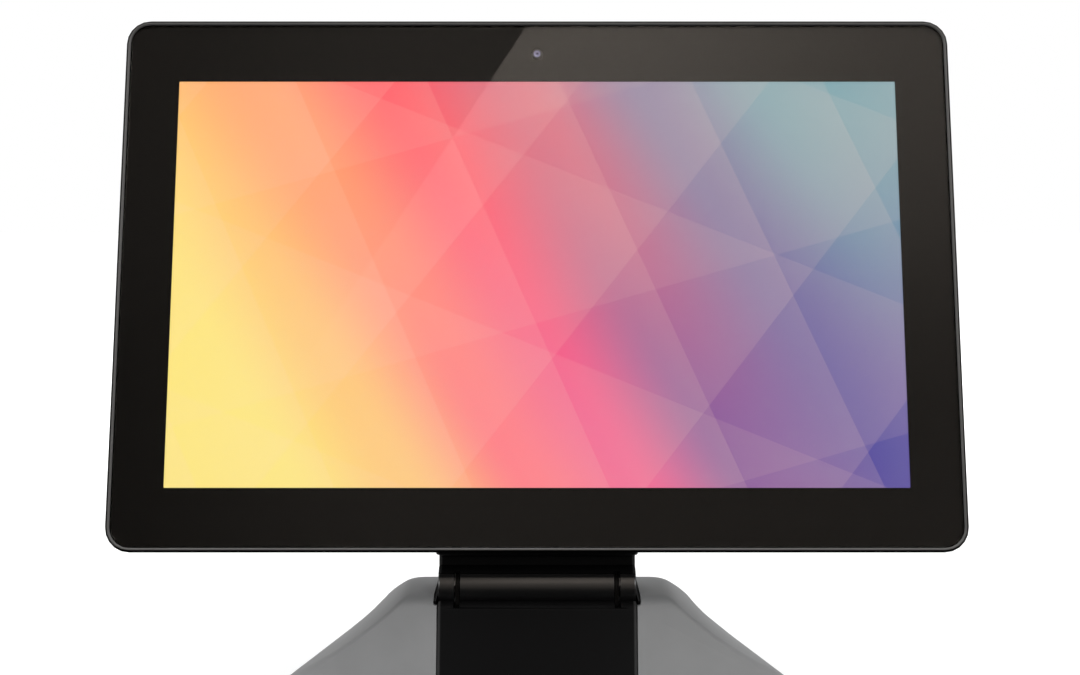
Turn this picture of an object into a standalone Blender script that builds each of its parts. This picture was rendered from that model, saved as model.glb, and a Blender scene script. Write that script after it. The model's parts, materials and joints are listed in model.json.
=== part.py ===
"""A shop counter terminal: a tilting touch display on a flared stand.

Metres, +Z up, the screen faces -Y. The origin is on the counter, under the middle of the object.
The stand is modelled in world space. The display head is modelled upright, with its hinge axis at
zero, and hangs under the empty tilt_axis, which leans it back. In the head's own space X runs along
the screen, Y runs from front to back, and Z runs up the screen.
"""

from math import acos, atan, cos, pi, radians, sin, sqrt, tan

import bmesh
import bpy
from mathutils import Matrix, Vector

# Driving sizes of the display head
SCREEN_WIDTH = 0.3442
SCREEN_HEIGHT = 0.1936
SIDE_BORDER = 0.02555
TOP_BORDER = 0.0296
BOTTOM_BORDER = 0.0292
HEAD_CORNER = 0.0115
HEAD_LEAN = radians(12.4)
HEAD_ABOVE_HINGE = 0.0190
LIP_BEFORE_HINGE = 0.0425
FRAME_DEPTH = 0.0120
EDGE_DEPTH = 0.0202

# Driving sizes of the stand and the hinge
BASE_WIDTH = 0.2960
BASE_DEPTH = 0.1800
CREST_HEIGHT = 0.0610
HINGE_ABOVE_CREST = 0.0023
TOE_REACH = 0.0620
RIM_BOTTOM = 0.0030
RIM_TOP = 0.0110
NECK_WIDTH = 0.0960
BARREL_RADIUS = 0.0110

# Clearance between pieces, and how far a cutter runs past what it cuts
GAP = 0.0003
OVERRUN = 0.0040

# How many straight pieces the arcs have
ARC_STEPS = 5
ROUND_STEPS = 24
SMALL_ROUND_STEPS = 10

# Where the hinge axis runs
HINGE_Y = TOE_REACH - BASE_DEPTH / 2
HINGE_Z = CREST_HEIGHT + HINGE_ABOVE_CREST

# Finishes: colour, roughness, metallic
GREY_PLASTIC = ((0.24, 0.24, 0.24), 0.42)
BLACK_PLASTIC = ((0.012, 0.012, 0.012), 0.34)
BLACK_METAL = ((0.020, 0.020, 0.021), 0.30, 1.0)
STEEL = ((0.55, 0.55, 0.56), 0.32, 1.0)
BLACK_STEEL = ((0.014, 0.014, 0.014), 0.45)
ALUMINIUM = ((0.70, 0.71, 0.72), 0.35, 1.0)
RUBBER = ((0.015, 0.015, 0.015), 0.85)
CLEAR_GLASS = ((0.80, 0.82, 0.83), 0.04)
BORDER_INK = ((0.008, 0.008, 0.009), 0.25)
SCREEN = ((0.75, 0.28, 0.40), 0.30)
BOARD_GREEN = ((0.02, 0.12, 0.05), 0.45)


# Helpers

def clear_scene():
    for old in list(bpy.data.objects):
        bpy.data.objects.remove(old, do_unlink=True)


def material(name, colour, roughness, metallic=0.0):
    made = bpy.data.materials.new(name)
    made.use_nodes = True
    shader = made.node_tree.nodes["Principled BSDF"]
    shader.inputs["Base Color"].default_value = (*colour, 1.0)
    shader.inputs["Roughness"].default_value = roughness
    shader.inputs["Metallic"].default_value = metallic
    made.diffuse_color = (*colour, 1.0)
    return made


def empty(name, place, turn=0.0, parent=None):
    made = bpy.data.objects.new(name, None)
    bpy.context.scene.collection.objects.link(made)
    made.parent = parent
    made.location = place
    made.rotation_euler = (turn, 0.0, 0.0)
    return made


def finish(name, bm, look=None, parent=None):
    """Makes an object of a bmesh. Without a look it is a cutter or a form to be joined on."""
    bmesh.ops.recalc_face_normals(bm, faces=bm.faces)
    if bm.calc_volume(signed=True) < 0.0:
        bmesh.ops.reverse_faces(bm, faces=bm.faces)
    mesh = bpy.data.meshes.new(name)
    bm.to_mesh(mesh)
    bm.free()
    mesh.shade_smooth()
    mesh.set_sharp_from_angle(angle=radians(32))
    piece = bpy.data.objects.new(name, mesh)
    bpy.context.scene.collection.objects.link(piece)
    piece.parent = parent
    if look is None:
        piece.hide_render = True
        piece.display_type = "WIRE"
    else:
        mesh.materials.append(material(name, *look))
    return piece


def boolean(piece, other, operation):
    modifier = piece.modifiers.new(operation.lower() + "_" + other.name, "BOOLEAN")
    modifier.operation = operation
    modifier.solver = "EXACT"
    modifier.object = other


def cut(piece, *cutters):
    for cutter in cutters:
        boolean(piece, cutter, "DIFFERENCE")


def join(piece, *others):
    for other in others:
        boolean(piece, other, "UNION")


def soften(piece, width, segments=2):
    """Rounds every edge of a piece whose faces meet at more than 50 degrees."""
    modifier = piece.modifiers.new("soft_edges", "BEVEL")
    modifier.width = width
    modifier.segments = segments
    modifier.limit_method = "ANGLE"
    modifier.angle_limit = radians(50)


def add_box(bm, low, high):
    middle = (Vector(low) + Vector(high)) / 2
    size = Vector(high) - Vector(low)
    place = Matrix.Translation(middle) @ Matrix.Diagonal((*size, 1.0))
    bmesh.ops.create_cube(bm, size=1.0, matrix=place)


def add_prism(bm, corners, sweep):
    """Fills an outline of 3-D points and extrudes it by a vector."""
    face = bm.faces.new([bm.verts.new(corner) for corner in corners])
    swept = bmesh.ops.extrude_face_region(bm, geom=[face])["geom"]
    moved = [item for item in swept if isinstance(item, bmesh.types.BMVert)]
    bmesh.ops.translate(bm, vec=sweep, verts=moved)


def add_along_x(bm, outline, start, end):
    """A section of (Y, Z) points, swept along X."""
    add_prism(bm, [(start, y, z) for y, z in outline], (end - start, 0.0, 0.0))


def add_along_y(bm, outline, start, end):
    """A section of (X, Z) points, swept along Y."""
    add_prism(bm, [(x, start, z) for x, z in outline], (0.0, end - start, 0.0))


def add_along_z(bm, outline, start, end):
    """A plan of (X, Y) points, swept along Z."""
    add_prism(bm, [(x, y, start) for x, y in outline], (0.0, 0.0, end - start))


def add_loft(bm, rings, closed=False):
    """Skins rings of equally many points in turn. The ends are capped, or joined to each other."""
    loops = [[bm.verts.new(point) for point in ring] for ring in rings]
    pairs = list(zip(loops, loops[1:]))
    if closed:
        pairs.append((loops[-1], loops[0]))
    else:
        bm.faces.new(loops[0])
        bm.faces.new(loops[-1])
    for lower, upper in pairs:
        for step in range(len(lower)):
            bm.faces.new((lower[step - 1], lower[step], upper[step], upper[step - 1]))


def round_rings(centre, axis, profile, steps):
    """Rings round an axis. The profile holds (place along the axis, radius) points."""
    rings = []
    for along, radius in profile:
        flat = arc(centre, radius, 0.0, 2 * pi, steps)[:-1]
        if axis == "X":
            rings.append([(along, a, b) for a, b in flat])
        elif axis == "Y":
            rings.append([(a, along, b) for a, b in flat])
        else:
            rings.append([(a, b, along) for a, b in flat])
    return rings


def add_turned(bm, centre, axis, profile, steps=ROUND_STEPS):
    """Turns a profile into a closed round solid. centre is its place on the other two axes."""
    add_loft(bm, round_rings(centre, axis, profile, steps))


def add_rod(bm, centre, axis, radius, start, end, steps=ROUND_STEPS):
    add_turned(bm, centre, axis, [(start, radius), (end, radius)], steps)


def add_washer(bm, centre, axis, inner, outer, start, end, steps=ROUND_STEPS):
    profile = [(start, inner), (start, outer), (end, outer), (end, inner)]
    add_loft(bm, round_rings(centre, axis, profile, steps), closed=True)


def arc(centre, radius, start, end, steps=ARC_STEPS):
    """Points on a circle from one angle to another, both included."""
    angles = [start + (end - start) * step / steps for step in range(steps + 1)]
    return [(centre[0] + radius * cos(angle), centre[1] + radius * sin(angle)) for angle in angles]


def rounded_outline(left, right, bottom, top, radius, steps=ARC_STEPS):
    """A rectangle with round corners."""
    corners = (
        ((right - radius, bottom + radius), -pi / 2),
        ((right - radius, top - radius), 0.0),
        ((left + radius, top - radius), pi / 2),
        ((left + radius, bottom + radius), pi),
    )
    outline = []
    for centre, start in corners:
        outline += arc(centre, radius, start, start + pi / 2, steps)
    return outline


def beside(line, distance):
    """An open line of points, moved to its left by a distance."""
    moved = []
    for step, point in enumerate(line):
        before = Vector(line[max(step - 1, 0)])
        after = Vector(line[min(step + 1, len(line) - 1)])
        along = (after - before).normalized()
        moved.append((point[0] - along.y * distance, point[1] + along.x * distance))
    return moved


# Stand shell: the flared grey moulding

SHOULDER_WIDTH = 0.0147
FLANK_STRAIGHT_SHARE = 0.575
FACE_ROOM = 0.0029
FACE_LEAN = radians(12.0)
TOE_START_SHARE = 0.72
REAR_ROOM = 0.0100
REAR_STRAIGHT_SHARE = 0.85
SIDE_EDGE_RADIUS = 0.0030
FRONT_EDGE_RADIUS = 0.0055
REAR_EDGE_RADIUS = 0.0050
SIDE_TAPER_SHARE = 0.37
TOP_FRONT_CORNER = 0.0025
BASE_FRONT_CORNER = 0.0120
TOP_REAR_CORNER = 0.0070
BASE_REAR_CORNER = 0.0180
SHELL_WALL = 0.0030
FRONT_WALL = 0.0046
CREST_LEVEL_SHARES = (0.0, 0.04, 0.16, 0.36, 0.64, 1.0)
FLANK_LEVEL_SHARES = (0.13, 0.19, 0.27, 0.36, 0.45, 0.54, 0.63, 0.72, 0.80, 0.87, 0.94, 1.0)

BOSS_RADIUS = 0.0045
BOSS_HOLE_RADIUS = 0.0018
BOSS_HOLE_DEPTH = 0.0090
BOSS_FROM_SIDE = 0.0300
BOSS_FROM_FRONT = 0.0420
BOSS_FROM_REAR = 0.0520

WELL_SIDE_ROOM = 0.0018
WELL_HALF_WIDTH = NECK_WIDTH / 2 + WELL_SIDE_ROOM
FLANK_TOP_HALF_WIDTH = WELL_HALF_WIDTH + SHOULDER_WIDTH
FACE_BEFORE_HINGE = BARREL_RADIUS + FACE_ROOM
REAR_BEHIND_HINGE = BARREL_RADIUS + REAR_ROOM
FLANK_DROP = CREST_HEIGHT - RIM_TOP
BASE_FRONT_Y = -BASE_DEPTH / 2
BASE_REAR_Y = BASE_DEPTH / 2


def flare(share, straight_share):
    """How far out a concave flank has come, from 0 at the crest to 1 at the rim."""
    return straight_share * share + (1 - straight_share) * share * share


def edge_rounding(drop, radius):
    """How far a rounded top edge lies inside its flank, at a drop below the crest."""
    if drop >= radius:
        return 0.0
    return radius - sqrt(radius * radius - (radius - drop) * (radius - drop))


def flank_half_width(drop):
    """How far out the side's line meets the front face's."""
    reach = BASE_WIDTH / 2 - FLANK_TOP_HALF_WIDTH
    flank = FLANK_TOP_HALF_WIDTH + reach * flare(drop / FLANK_DROP, FLANK_STRAIGHT_SHARE)
    return flank - edge_rounding(drop, SIDE_EDGE_RADIUS)


def face_y(drop):
    """The plain front face: it leans, then sweeps out into the toe."""
    share = max(0.0, (drop / FLANK_DROP - TOE_START_SHARE) / (1 - TOE_START_SHARE))
    leaning = FACE_BEFORE_HINGE + tan(FACE_LEAN) * drop
    lowest = FACE_BEFORE_HINGE + tan(FACE_LEAN) * FLANK_DROP
    return HINGE_Y - leaning - (TOE_REACH - lowest) * share * share


def rear_y(drop):
    reach = BASE_DEPTH - TOE_REACH - REAR_BEHIND_HINGE
    rear = HINGE_Y + REAR_BEHIND_HINGE + reach * flare(drop / FLANK_DROP, REAR_STRAIGHT_SHARE)
    return rear - edge_rounding(drop, REAR_EDGE_RADIUS)


def stand_plan(drop, inset=0.0, front_inset=0.0):
    """The stand's plan at a drop below the crest, as (X, Y) points. Its sides draw in to the rear."""
    share = drop / FLANK_DROP
    side = flank_half_width(drop)
    face = face_y(drop) + edge_rounding(drop, FRONT_EDGE_RADIUS)
    front_corner = TOP_FRONT_CORNER + (BASE_FRONT_CORNER - TOP_FRONT_CORNER) * share ** 3
    rear_corner = TOP_REAR_CORNER + (BASE_REAR_CORNER - TOP_REAR_CORNER) * share
    front_corner = max(front_corner - inset, TOP_FRONT_CORNER / 2)
    rear_corner = max(rear_corner - inset, TOP_FRONT_CORNER)
    turn = atan(SIDE_TAPER_SHARE * share * share * (3 - 2 * share))
    corners = (
        (face + front_inset + front_corner, front_corner, -pi / 2, turn),
        (rear_y(drop) - inset - rear_corner, rear_corner, turn, pi / 2),
    )
    half = []
    for y, radius, start, end in corners:
        x = side - (inset + radius + (y - face) * sin(turn)) / cos(turn)
        half += arc((x, y), radius, start, end)
    return half + [(-x, y) for x, y in reversed(half)]


def stand_rings(inset, front_inset, sink, bottom):
    """The stand's plans from the crest down to the rim, sunk by a wall's thickness."""
    drops = [share * FRONT_EDGE_RADIUS for share in CREST_LEVEL_SHARES]
    drops += [share * FLANK_DROP for share in FLANK_LEVEL_SHARES]
    rings = []
    for drop in drops:
        height = CREST_HEIGHT - drop - sink
        rings.append([(x, y, height) for x, y in stand_plan(drop, inset, front_inset)])
    rings.append([(x, y, bottom) for x, y, _ in rings[-1]])
    return rings


def rim_side(y):
    """How far out the side's line runs at the rim."""
    return BASE_WIDTH / 2 - SIDE_TAPER_SHARE * (y - BASE_FRONT_Y)


def boss_places():
    places = []
    for y in (BASE_FRONT_Y + BOSS_FROM_FRONT, BASE_REAR_Y - BOSS_FROM_REAR):
        x = rim_side(y) - BOSS_FROM_SIDE
        places += [(-x, y), (x, y)]
    return places


def make_stand_shell():
    bm = bmesh.new()
    add_loft(bm, stand_rings(0.0, 0.0, 0.0, RIM_BOTTOM))
    shell = finish("stand_shell", bm, GREY_PLASTIC)

    bm = bmesh.new()
    add_loft(bm, stand_rings(SHELL_WALL, FRONT_WALL, SHELL_WALL, RIM_BOTTOM - OVERRUN))
    hollow = finish("stand_hollow_cutter", bm)
    bm = bmesh.new()
    for place in boss_places():
        add_rod(bm, place, "Z", BOSS_RADIUS, PLATE_TOP + GAP, CREST_HEIGHT)
    cut(hollow, finish("boss_keeper", bm))

    bm = bmesh.new()
    for place in boss_places():
        add_rod(bm, place, "Z", BOSS_HOLE_RADIUS, RIM_BOTTOM, PLATE_TOP + BOSS_HOLE_DEPTH, SMALL_ROUND_STEPS)
    cut(shell, hollow, finish("boss_hole_cutter", bm), panel_recess_cutter(), well_cutter())


# Front panel: the black strip down the middle of the stand, rolled back at its top

PANEL_THICKNESS = 0.0020
PANEL_PROUD = 0.0002
PANEL_EDGE = 0.0011
PANEL_ROLL_RADIUS = 0.0045
PANEL_ROLL_END = radians(80)
PANEL_TOP_DROP = 0.0023
PANEL_TOE_STEPS = 9
PANEL_ABOVE_RIM_BOTTOM = 0.0008
NOTCH_DEPTH = 0.0024


def panel_face_line():
    """The panel's outer face from its rolled top to the base, as (Y, Z) points."""
    centre_z = CREST_HEIGHT - PANEL_TOP_DROP - PANEL_ROLL_RADIUS * sin(PANEL_ROLL_END)
    touch_z = centre_z + PANEL_ROLL_RADIUS * sin(FACE_LEAN)
    centre_y = face_y(CREST_HEIGHT - touch_z) + PANEL_ROLL_RADIUS * cos(FACE_LEAN)
    line = arc((centre_y, centre_z), PANEL_ROLL_RADIUS, pi - PANEL_ROLL_END, pi - FACE_LEAN)
    toe_z = CREST_HEIGHT - FLANK_DROP * TOE_START_SHARE
    for step in range(PANEL_TOE_STEPS + 1):
        height = toe_z + (RIM_TOP - toe_z) * step / PANEL_TOE_STEPS
        line.append((face_y(CREST_HEIGHT - height), height))
    return line


def panel_line(depth, bottom):
    """The face line moved inwards by a depth, and taken on down the rim to a height."""
    face = panel_face_line()
    rim_y = face[-1][0] + depth
    line = [point for point in beside(face, depth) if point[0] > rim_y + GAP]
    return line + [(rim_y, RIM_TOP - depth), (rim_y, bottom)]


def make_front_panel():
    bottom = RIM_BOTTOM + PANEL_ABOVE_RIM_BOTTOM
    outer = panel_line(-PANEL_PROUD, bottom)
    inner = panel_line(PANEL_THICKNESS, bottom)
    half = NECK_WIDTH / 2
    bm = bmesh.new()
    add_along_x(bm, outer + inner[::-1], -half, half)
    near = GAP / 10
    on_face = {vert for vert in bm.verts for y, z in outer if (vert.co.yz - Vector((y, z))).length < near}
    rims = [
        edge for edge in bm.edges
        if set(edge.verts) <= on_face and abs(edge.verts[0].co.x - edge.verts[1].co.x) < near
    ]
    bmesh.ops.bevel(
        bm, geom=rims, offset=PANEL_EDGE, offset_type="OFFSET", segments=2, profile=0.5,
        affect="EDGES", material=-1, clamp_overlap=True,
    )
    panel = finish("front_panel", bm, BLACK_PLASTIC)

    bm = bmesh.new()
    top = CREST_HEIGHT - PANEL_TOP_DROP
    front = face_y(FLANK_DROP)
    for side in (-1, 1):
        middle = side * BRACKET_FROM_MIDDLE
        low = (middle - SLOT_WIDTH / 2, front, top - NOTCH_DEPTH)
        add_box(bm, low, (middle + SLOT_WIDTH / 2, HINGE_Y, top + OVERRUN))
    cut(panel, finish("panel_notch_cutter", bm))


def panel_recess_cutter():
    """The channel that the panel lies in. Behind the panel's top it opens into the hinge well."""
    room = PANEL_THICKNESS + GAP
    well_bottom = HINGE_Z - WELL_DEPTH - GAP
    inner = [point for point in panel_line(room, RIM_BOTTOM - OVERRUN) if point[1] < well_bottom]
    step_y = face_y(CREST_HEIGHT - well_bottom) + room / cos(FACE_LEAN)
    front = BASE_FRONT_Y - OVERRUN
    outline = [(front, RIM_BOTTOM - OVERRUN)] + inner[::-1]
    outline += [
        (step_y, well_bottom),
        (HINGE_Y, well_bottom),
        (HINGE_Y, CREST_HEIGHT + OVERRUN),
        (front, CREST_HEIGHT + OVERRUN),
    ]
    half = NECK_WIDTH / 2 + GAP
    bm = bmesh.new()
    add_along_x(bm, outline, -half, half)
    return finish("panel_recess_cutter", bm)


# Hinge well: the black trough in the crest that the barrel turns in

WELL_WALL = 0.0011
WELL_BEFORE_HINGE = BARREL_RADIUS + 0.0015
WELL_BEHIND_HINGE = BARREL_RADIUS + 0.0020
WELL_DEPTH = BARREL_RADIUS + 0.0040
WELL_FRONT_DROP = 0.0078
WELL_MOUTH_DROP = 0.0036
WELL_CORNER = 0.0013
WELL_TOP_DROP = 0.0018


def well_cutter():
    """The opening for the well, with its low mouth above the panel."""
    side = WELL_HALF_WIDTH + GAP
    bm = bmesh.new()
    low = (-side, HINGE_Y - WELL_BEFORE_HINGE - GAP, HINGE_Z - WELL_DEPTH - GAP)
    add_box(bm, low, (side, HINGE_Y + WELL_BEHIND_HINGE + GAP, CREST_HEIGHT + OVERRUN))
    well = finish("well_cutter", bm)

    bottom = CREST_HEIGHT - WELL_MOUTH_DROP
    bm = bmesh.new()
    mouth = rounded_outline(-side, side, bottom, CREST_HEIGHT + OVERRUN, WELL_CORNER, 3)
    add_along_y(bm, mouth, face_y(0.0) - OVERRUN, HINGE_Y)
    join(well, finish("well_mouth", bm))
    return well


def make_hinge_well():
    front = HINGE_Y - WELL_BEFORE_HINGE
    rear = HINGE_Y + WELL_BEHIND_HINGE
    floor = HINGE_Z - WELL_DEPTH
    inner = WELL_HALF_WIDTH - WELL_WALL
    bm = bmesh.new()
    add_box(bm, (-WELL_HALF_WIDTH, front, floor), (WELL_HALF_WIDTH, rear, CREST_HEIGHT - WELL_TOP_DROP))
    well = finish("hinge_well", bm, BLACK_PLASTIC)

    bm = bmesh.new()
    low = (-inner, front + WELL_WALL, floor + WELL_WALL)
    add_box(bm, low, (inner, rear - WELL_WALL, CREST_HEIGHT + OVERRUN))
    trough = finish("well_trough_cutter", bm)
    bm = bmesh.new()
    low = (-inner, front - OVERRUN, HINGE_Z - WELL_FRONT_DROP)
    add_box(bm, low, (inner, HINGE_Y, CREST_HEIGHT + OVERRUN))
    mouth = finish("well_front_cutter", bm)

    bm = bmesh.new()
    reach = BRACKET_HALF_DEPTH + BRACKET_CLEARANCE
    for side in (-1, 1):
        middle = side * BRACKET_FROM_MIDDLE
        low = (middle - SLOT_WIDTH / 2, HINGE_Y - reach, floor - OVERRUN)
        add_box(bm, low, (middle + SLOT_WIDTH / 2, HINGE_Y + reach, floor + OVERRUN))
    cut(well, trough, mouth, finish("well_slot_cutter", bm))


# Base plate, screws and feet

PLATE_THICKNESS = 0.0015
PLATE_ABOVE_RIM_BOTTOM = 0.0015
PLATE_BOTTOM = RIM_BOTTOM + PLATE_ABOVE_RIM_BOTTOM
PLATE_TOP = PLATE_BOTTOM + PLATE_THICKNESS
FOOT_RADIUS = 0.0100
FOOT_TREAD_RADIUS = 0.0088
FOOT_FROM_SIDE = 0.0222
FOOT_FROM_FRONT = 0.0210
FOOT_FROM_REAR = 0.0280
FOOT_LIP = 0.0008
SCREW_HEAD_RADIUS = 0.0034
SCREW_HEAD_HEIGHT = 0.0016
SCREW_SHANK_RADIUS = 0.0015
BASE_SCREW_LENGTH = 0.0095
SCREW_POINT = 0.0006


def make_base_plate():
    bm = bmesh.new()
    plan = stand_plan(FLANK_DROP, SHELL_WALL + GAP, FRONT_WALL + GAP)
    add_along_z(bm, plan, PLATE_BOTTOM, PLATE_TOP)
    plate = finish("base_plate", bm, STEEL)
    bm = bmesh.new()
    low = PLATE_BOTTOM - OVERRUN
    for place in boss_places() + bracket_bolt_places():
        add_rod(bm, place, "Z", BOSS_HOLE_RADIUS, low, PLATE_TOP + OVERRUN, SMALL_ROUND_STEPS)
    cut(plate, finish("plate_hole_cutter", bm))


def make_feet():
    top = PLATE_BOTTOM - GAP
    profile = [
        (0.0, FOOT_TREAD_RADIUS - FOOT_LIP),
        (FOOT_LIP, FOOT_TREAD_RADIUS),
        (top - FOOT_LIP, FOOT_RADIUS),
        (top, FOOT_RADIUS),
    ]
    for row, y in (("front", BASE_FRONT_Y + FOOT_FROM_FRONT), ("rear", BASE_REAR_Y - FOOT_FROM_REAR)):
        side = rim_side(y) - FOOT_FROM_SIDE
        for side_name, x in (("left", -side), ("right", side)):
            bm = bmesh.new()
            add_turned(bm, (x, y), "Z", profile)
            finish("foot_" + row + "_" + side_name, bm, RUBBER)


def make_screw(name, centre, axis, seat, direction, length, parent=None):
    """A pan-head screw. Its head sits on seat, and its shank runs from there along direction."""
    head = seat - direction * SCREW_HEAD_HEIGHT
    edge = SCREW_HEAD_HEIGHT / 3
    tip = seat + direction * length
    profile = [
        (head, SCREW_HEAD_RADIUS - edge),
        (head + direction * edge, SCREW_HEAD_RADIUS),
        (seat, SCREW_HEAD_RADIUS),
        (seat, SCREW_SHANK_RADIUS),
        (tip - direction * SCREW_POINT, SCREW_SHANK_RADIUS),
        (tip, SCREW_SHANK_RADIUS - SCREW_POINT),
    ]
    bm = bmesh.new()
    add_turned(bm, centre, axis, profile, SMALL_ROUND_STEPS)
    finish(name, bm, STEEL, parent)


def make_base_screws():
    for step, place in enumerate(boss_places()):
        make_screw("base_screw_" + str(step + 1), place, "Z", PLATE_BOTTOM - GAP, 1, BASE_SCREW_LENGTH)


# Stand bracket: the steel fork that carries the hinge

NECK_WALL = 0.0018
BRACKET_FROM_END = 0.00922
BRACKET_THICKNESS = 0.0020
SLOT_ROOM = 0.0005
BRACKET_ROUND_ROOM = 0.0010
BRACKET_CLEARANCE = 0.0008
BRACKET_FOOT_HALF_DEPTH = 0.0180
BRACKET_FOOT_THICKNESS = 0.0025
BRACKET_FOOT_BESIDE = 0.0164
BRACKET_STRAIGHT = 0.0090
BOLT_BESIDE = 0.0084
BOLT_REACH = 0.0110
SHAFT_RADIUS = 0.0030

BRACKET_FROM_MIDDLE = NECK_WIDTH / 2 - BRACKET_FROM_END
BRACKET_HALF_DEPTH = BARREL_RADIUS - NECK_WALL - BRACKET_ROUND_ROOM
SLOT_WIDTH = BRACKET_THICKNESS + 2 * SLOT_ROOM


def bracket_bolt_places():
    side = BRACKET_FROM_MIDDLE + BOLT_BESIDE
    return [(x, HINGE_Y + y) for y in (-BOLT_REACH, BOLT_REACH) for x in (-side, side)]


def make_stand_bracket():
    foot_bottom = PLATE_TOP + GAP
    foot_top = foot_bottom + BRACKET_FOOT_THICKNESS
    foot_side = BRACKET_FROM_MIDDLE + BRACKET_FOOT_BESIDE
    foot_depth = BRACKET_FOOT_HALF_DEPTH
    bm = bmesh.new()
    add_box(bm, (-foot_side, HINGE_Y - foot_depth, foot_bottom), (foot_side, HINGE_Y + foot_depth, foot_top))
    bracket = finish("stand_bracket", bm, BLACK_STEEL)

    straight_z = HINGE_Z - WELL_DEPTH - BRACKET_STRAIGHT
    root_z = foot_bottom + BRACKET_FOOT_THICKNESS / 2
    foot_depth -= BRACKET_CLEARANCE
    outline = arc((HINGE_Y, HINGE_Z), BRACKET_HALF_DEPTH, 0.0, pi, 12)
    outline += [
        (HINGE_Y - BRACKET_HALF_DEPTH, straight_z),
        (HINGE_Y - foot_depth, foot_top),
        (HINGE_Y - foot_depth, root_z),
        (HINGE_Y + foot_depth, root_z),
        (HINGE_Y + foot_depth, foot_top),
        (HINGE_Y + BRACKET_HALF_DEPTH, straight_z),
    ]
    for side_name, side in (("left", -1), ("right", 1)):
        middle = side * BRACKET_FROM_MIDDLE
        bm = bmesh.new()
        add_along_x(bm, outline, middle - BRACKET_THICKNESS / 2, middle + BRACKET_THICKNESS / 2)
        join(bracket, finish("bracket_ear_" + side_name, bm))

    bm = bmesh.new()
    reach = NECK_WIDTH / 2
    add_rod(bm, (HINGE_Y, HINGE_Z), "X", SHAFT_RADIUS + GAP, -reach, reach, SMALL_ROUND_STEPS)
    high = foot_top + OVERRUN
    for place in bracket_bolt_places():
        add_rod(bm, place, "Z", BOSS_HOLE_RADIUS, foot_bottom - OVERRUN, high, SMALL_ROUND_STEPS)
    cut(bracket, finish("bracket_hole_cutter", bm))


def make_bracket_bolts():
    seat = PLATE_TOP + GAP + BRACKET_FOOT_THICKNESS + GAP
    for step, place in enumerate(bracket_bolt_places()):
        make_screw("bracket_bolt_" + str(step + 1), place, "Z", seat, -1, seat - PLATE_BOTTOM)


# Display head, from the lip backwards, measured from the hinge axis

RIM_WIDTH = 0.0022
LIP_ROUND = 0.0012
LIP_CHAMFER = 0.0006
GLASS_RECESS = 0.0004
GLASS_THICKNESS = 0.0020
GLASS_EDGE = 0.0003
BORDER_THICKNESS = 0.0004
CELL_MARGIN = 0.0020
CELL_THICKNESS = 0.0012
LEDGE_THICKNESS = 0.0015
BACKLIGHT_MARGIN = 0.0052
BACKLIGHT_THICKNESS = 0.0060
CHASSIS_THICKNESS = 0.0012
FRAME_REAR_WALL = 0.0018

HEAD_BOTTOM = HEAD_ABOVE_HINGE
SCREEN_BOTTOM = HEAD_BOTTOM + BOTTOM_BORDER
SCREEN_TOP = SCREEN_BOTTOM + SCREEN_HEIGHT
SCREEN_SIDE = SCREEN_WIDTH / 2
HEAD_TOP = SCREEN_TOP + TOP_BORDER
HEAD_SIDE = SCREEN_SIDE + SIDE_BORDER

LIP_Y = -LIP_BEFORE_HINGE
GLASS_FRONT = LIP_Y + GLASS_RECESS
GLASS_BACK = GLASS_FRONT + GLASS_THICKNESS
BORDER_FRONT = GLASS_BACK + GAP
BORDER_BACK = BORDER_FRONT + BORDER_THICKNESS
CELL_FRONT = BORDER_BACK + GAP
CELL_BACK = CELL_FRONT + CELL_THICKNESS
LEDGE_BACK = CELL_FRONT + LEDGE_THICKNESS
BACKLIGHT_FRONT = CELL_BACK + GAP
BACKLIGHT_BACK = BACKLIGHT_FRONT + BACKLIGHT_THICKNESS
CHASSIS_FRONT = BACKLIGHT_BACK + GAP
CHASSIS_BACK = CHASSIS_FRONT + CHASSIS_THICKNESS
FRAME_BACK = LIP_Y + FRAME_DEPTH
EDGE_BACK = LIP_Y + EDGE_DEPTH

CAMERA_BELOW_TOP = 0.0158
LENS_RADIUS = 0.0024
LENS_HOLE_RADIUS = 0.0030
CAMERA_HALF_WIDTH = 0.0042
CAMERA_DEPTH = 0.0040
CAMERA_STRIP_HALF_WIDTH = 0.0550
CAMERA_STRIP_HALF_HEIGHT = 0.0036
CAMERA_STRIP_THICKNESS = 0.0010
CAMERA_Z = HEAD_TOP - CAMERA_BELOW_TOP
COVER_SCREW_FROM_EDGE = 0.0110


def head_outline(inset):
    """The head's front outline, moved in by a distance, as (X, Z) points."""
    side = HEAD_SIDE - inset
    corner = max(HEAD_CORNER - inset, LIP_ROUND)
    return rounded_outline(-side, side, HEAD_BOTTOM + inset, HEAD_TOP - inset, corner)


def screen_outline(margin, radius=GLASS_EDGE):
    """The picture's outline, moved out by a margin."""
    side = SCREEN_SIDE + margin
    return rounded_outline(-side, side, SCREEN_BOTTOM - margin, SCREEN_TOP + margin, radius, 2)


def at_depth(outline, y):
    return [(x, y, z) for x, z in outline]


def cover_screw_places():
    side = HEAD_SIDE - COVER_SCREW_FROM_EDGE
    rows = (HEAD_BOTTOM + COVER_SCREW_FROM_EDGE, HEAD_TOP - COVER_SCREW_FROM_EDGE)
    return [(x, z) for z in rows for x in (-side, side)]


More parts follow.
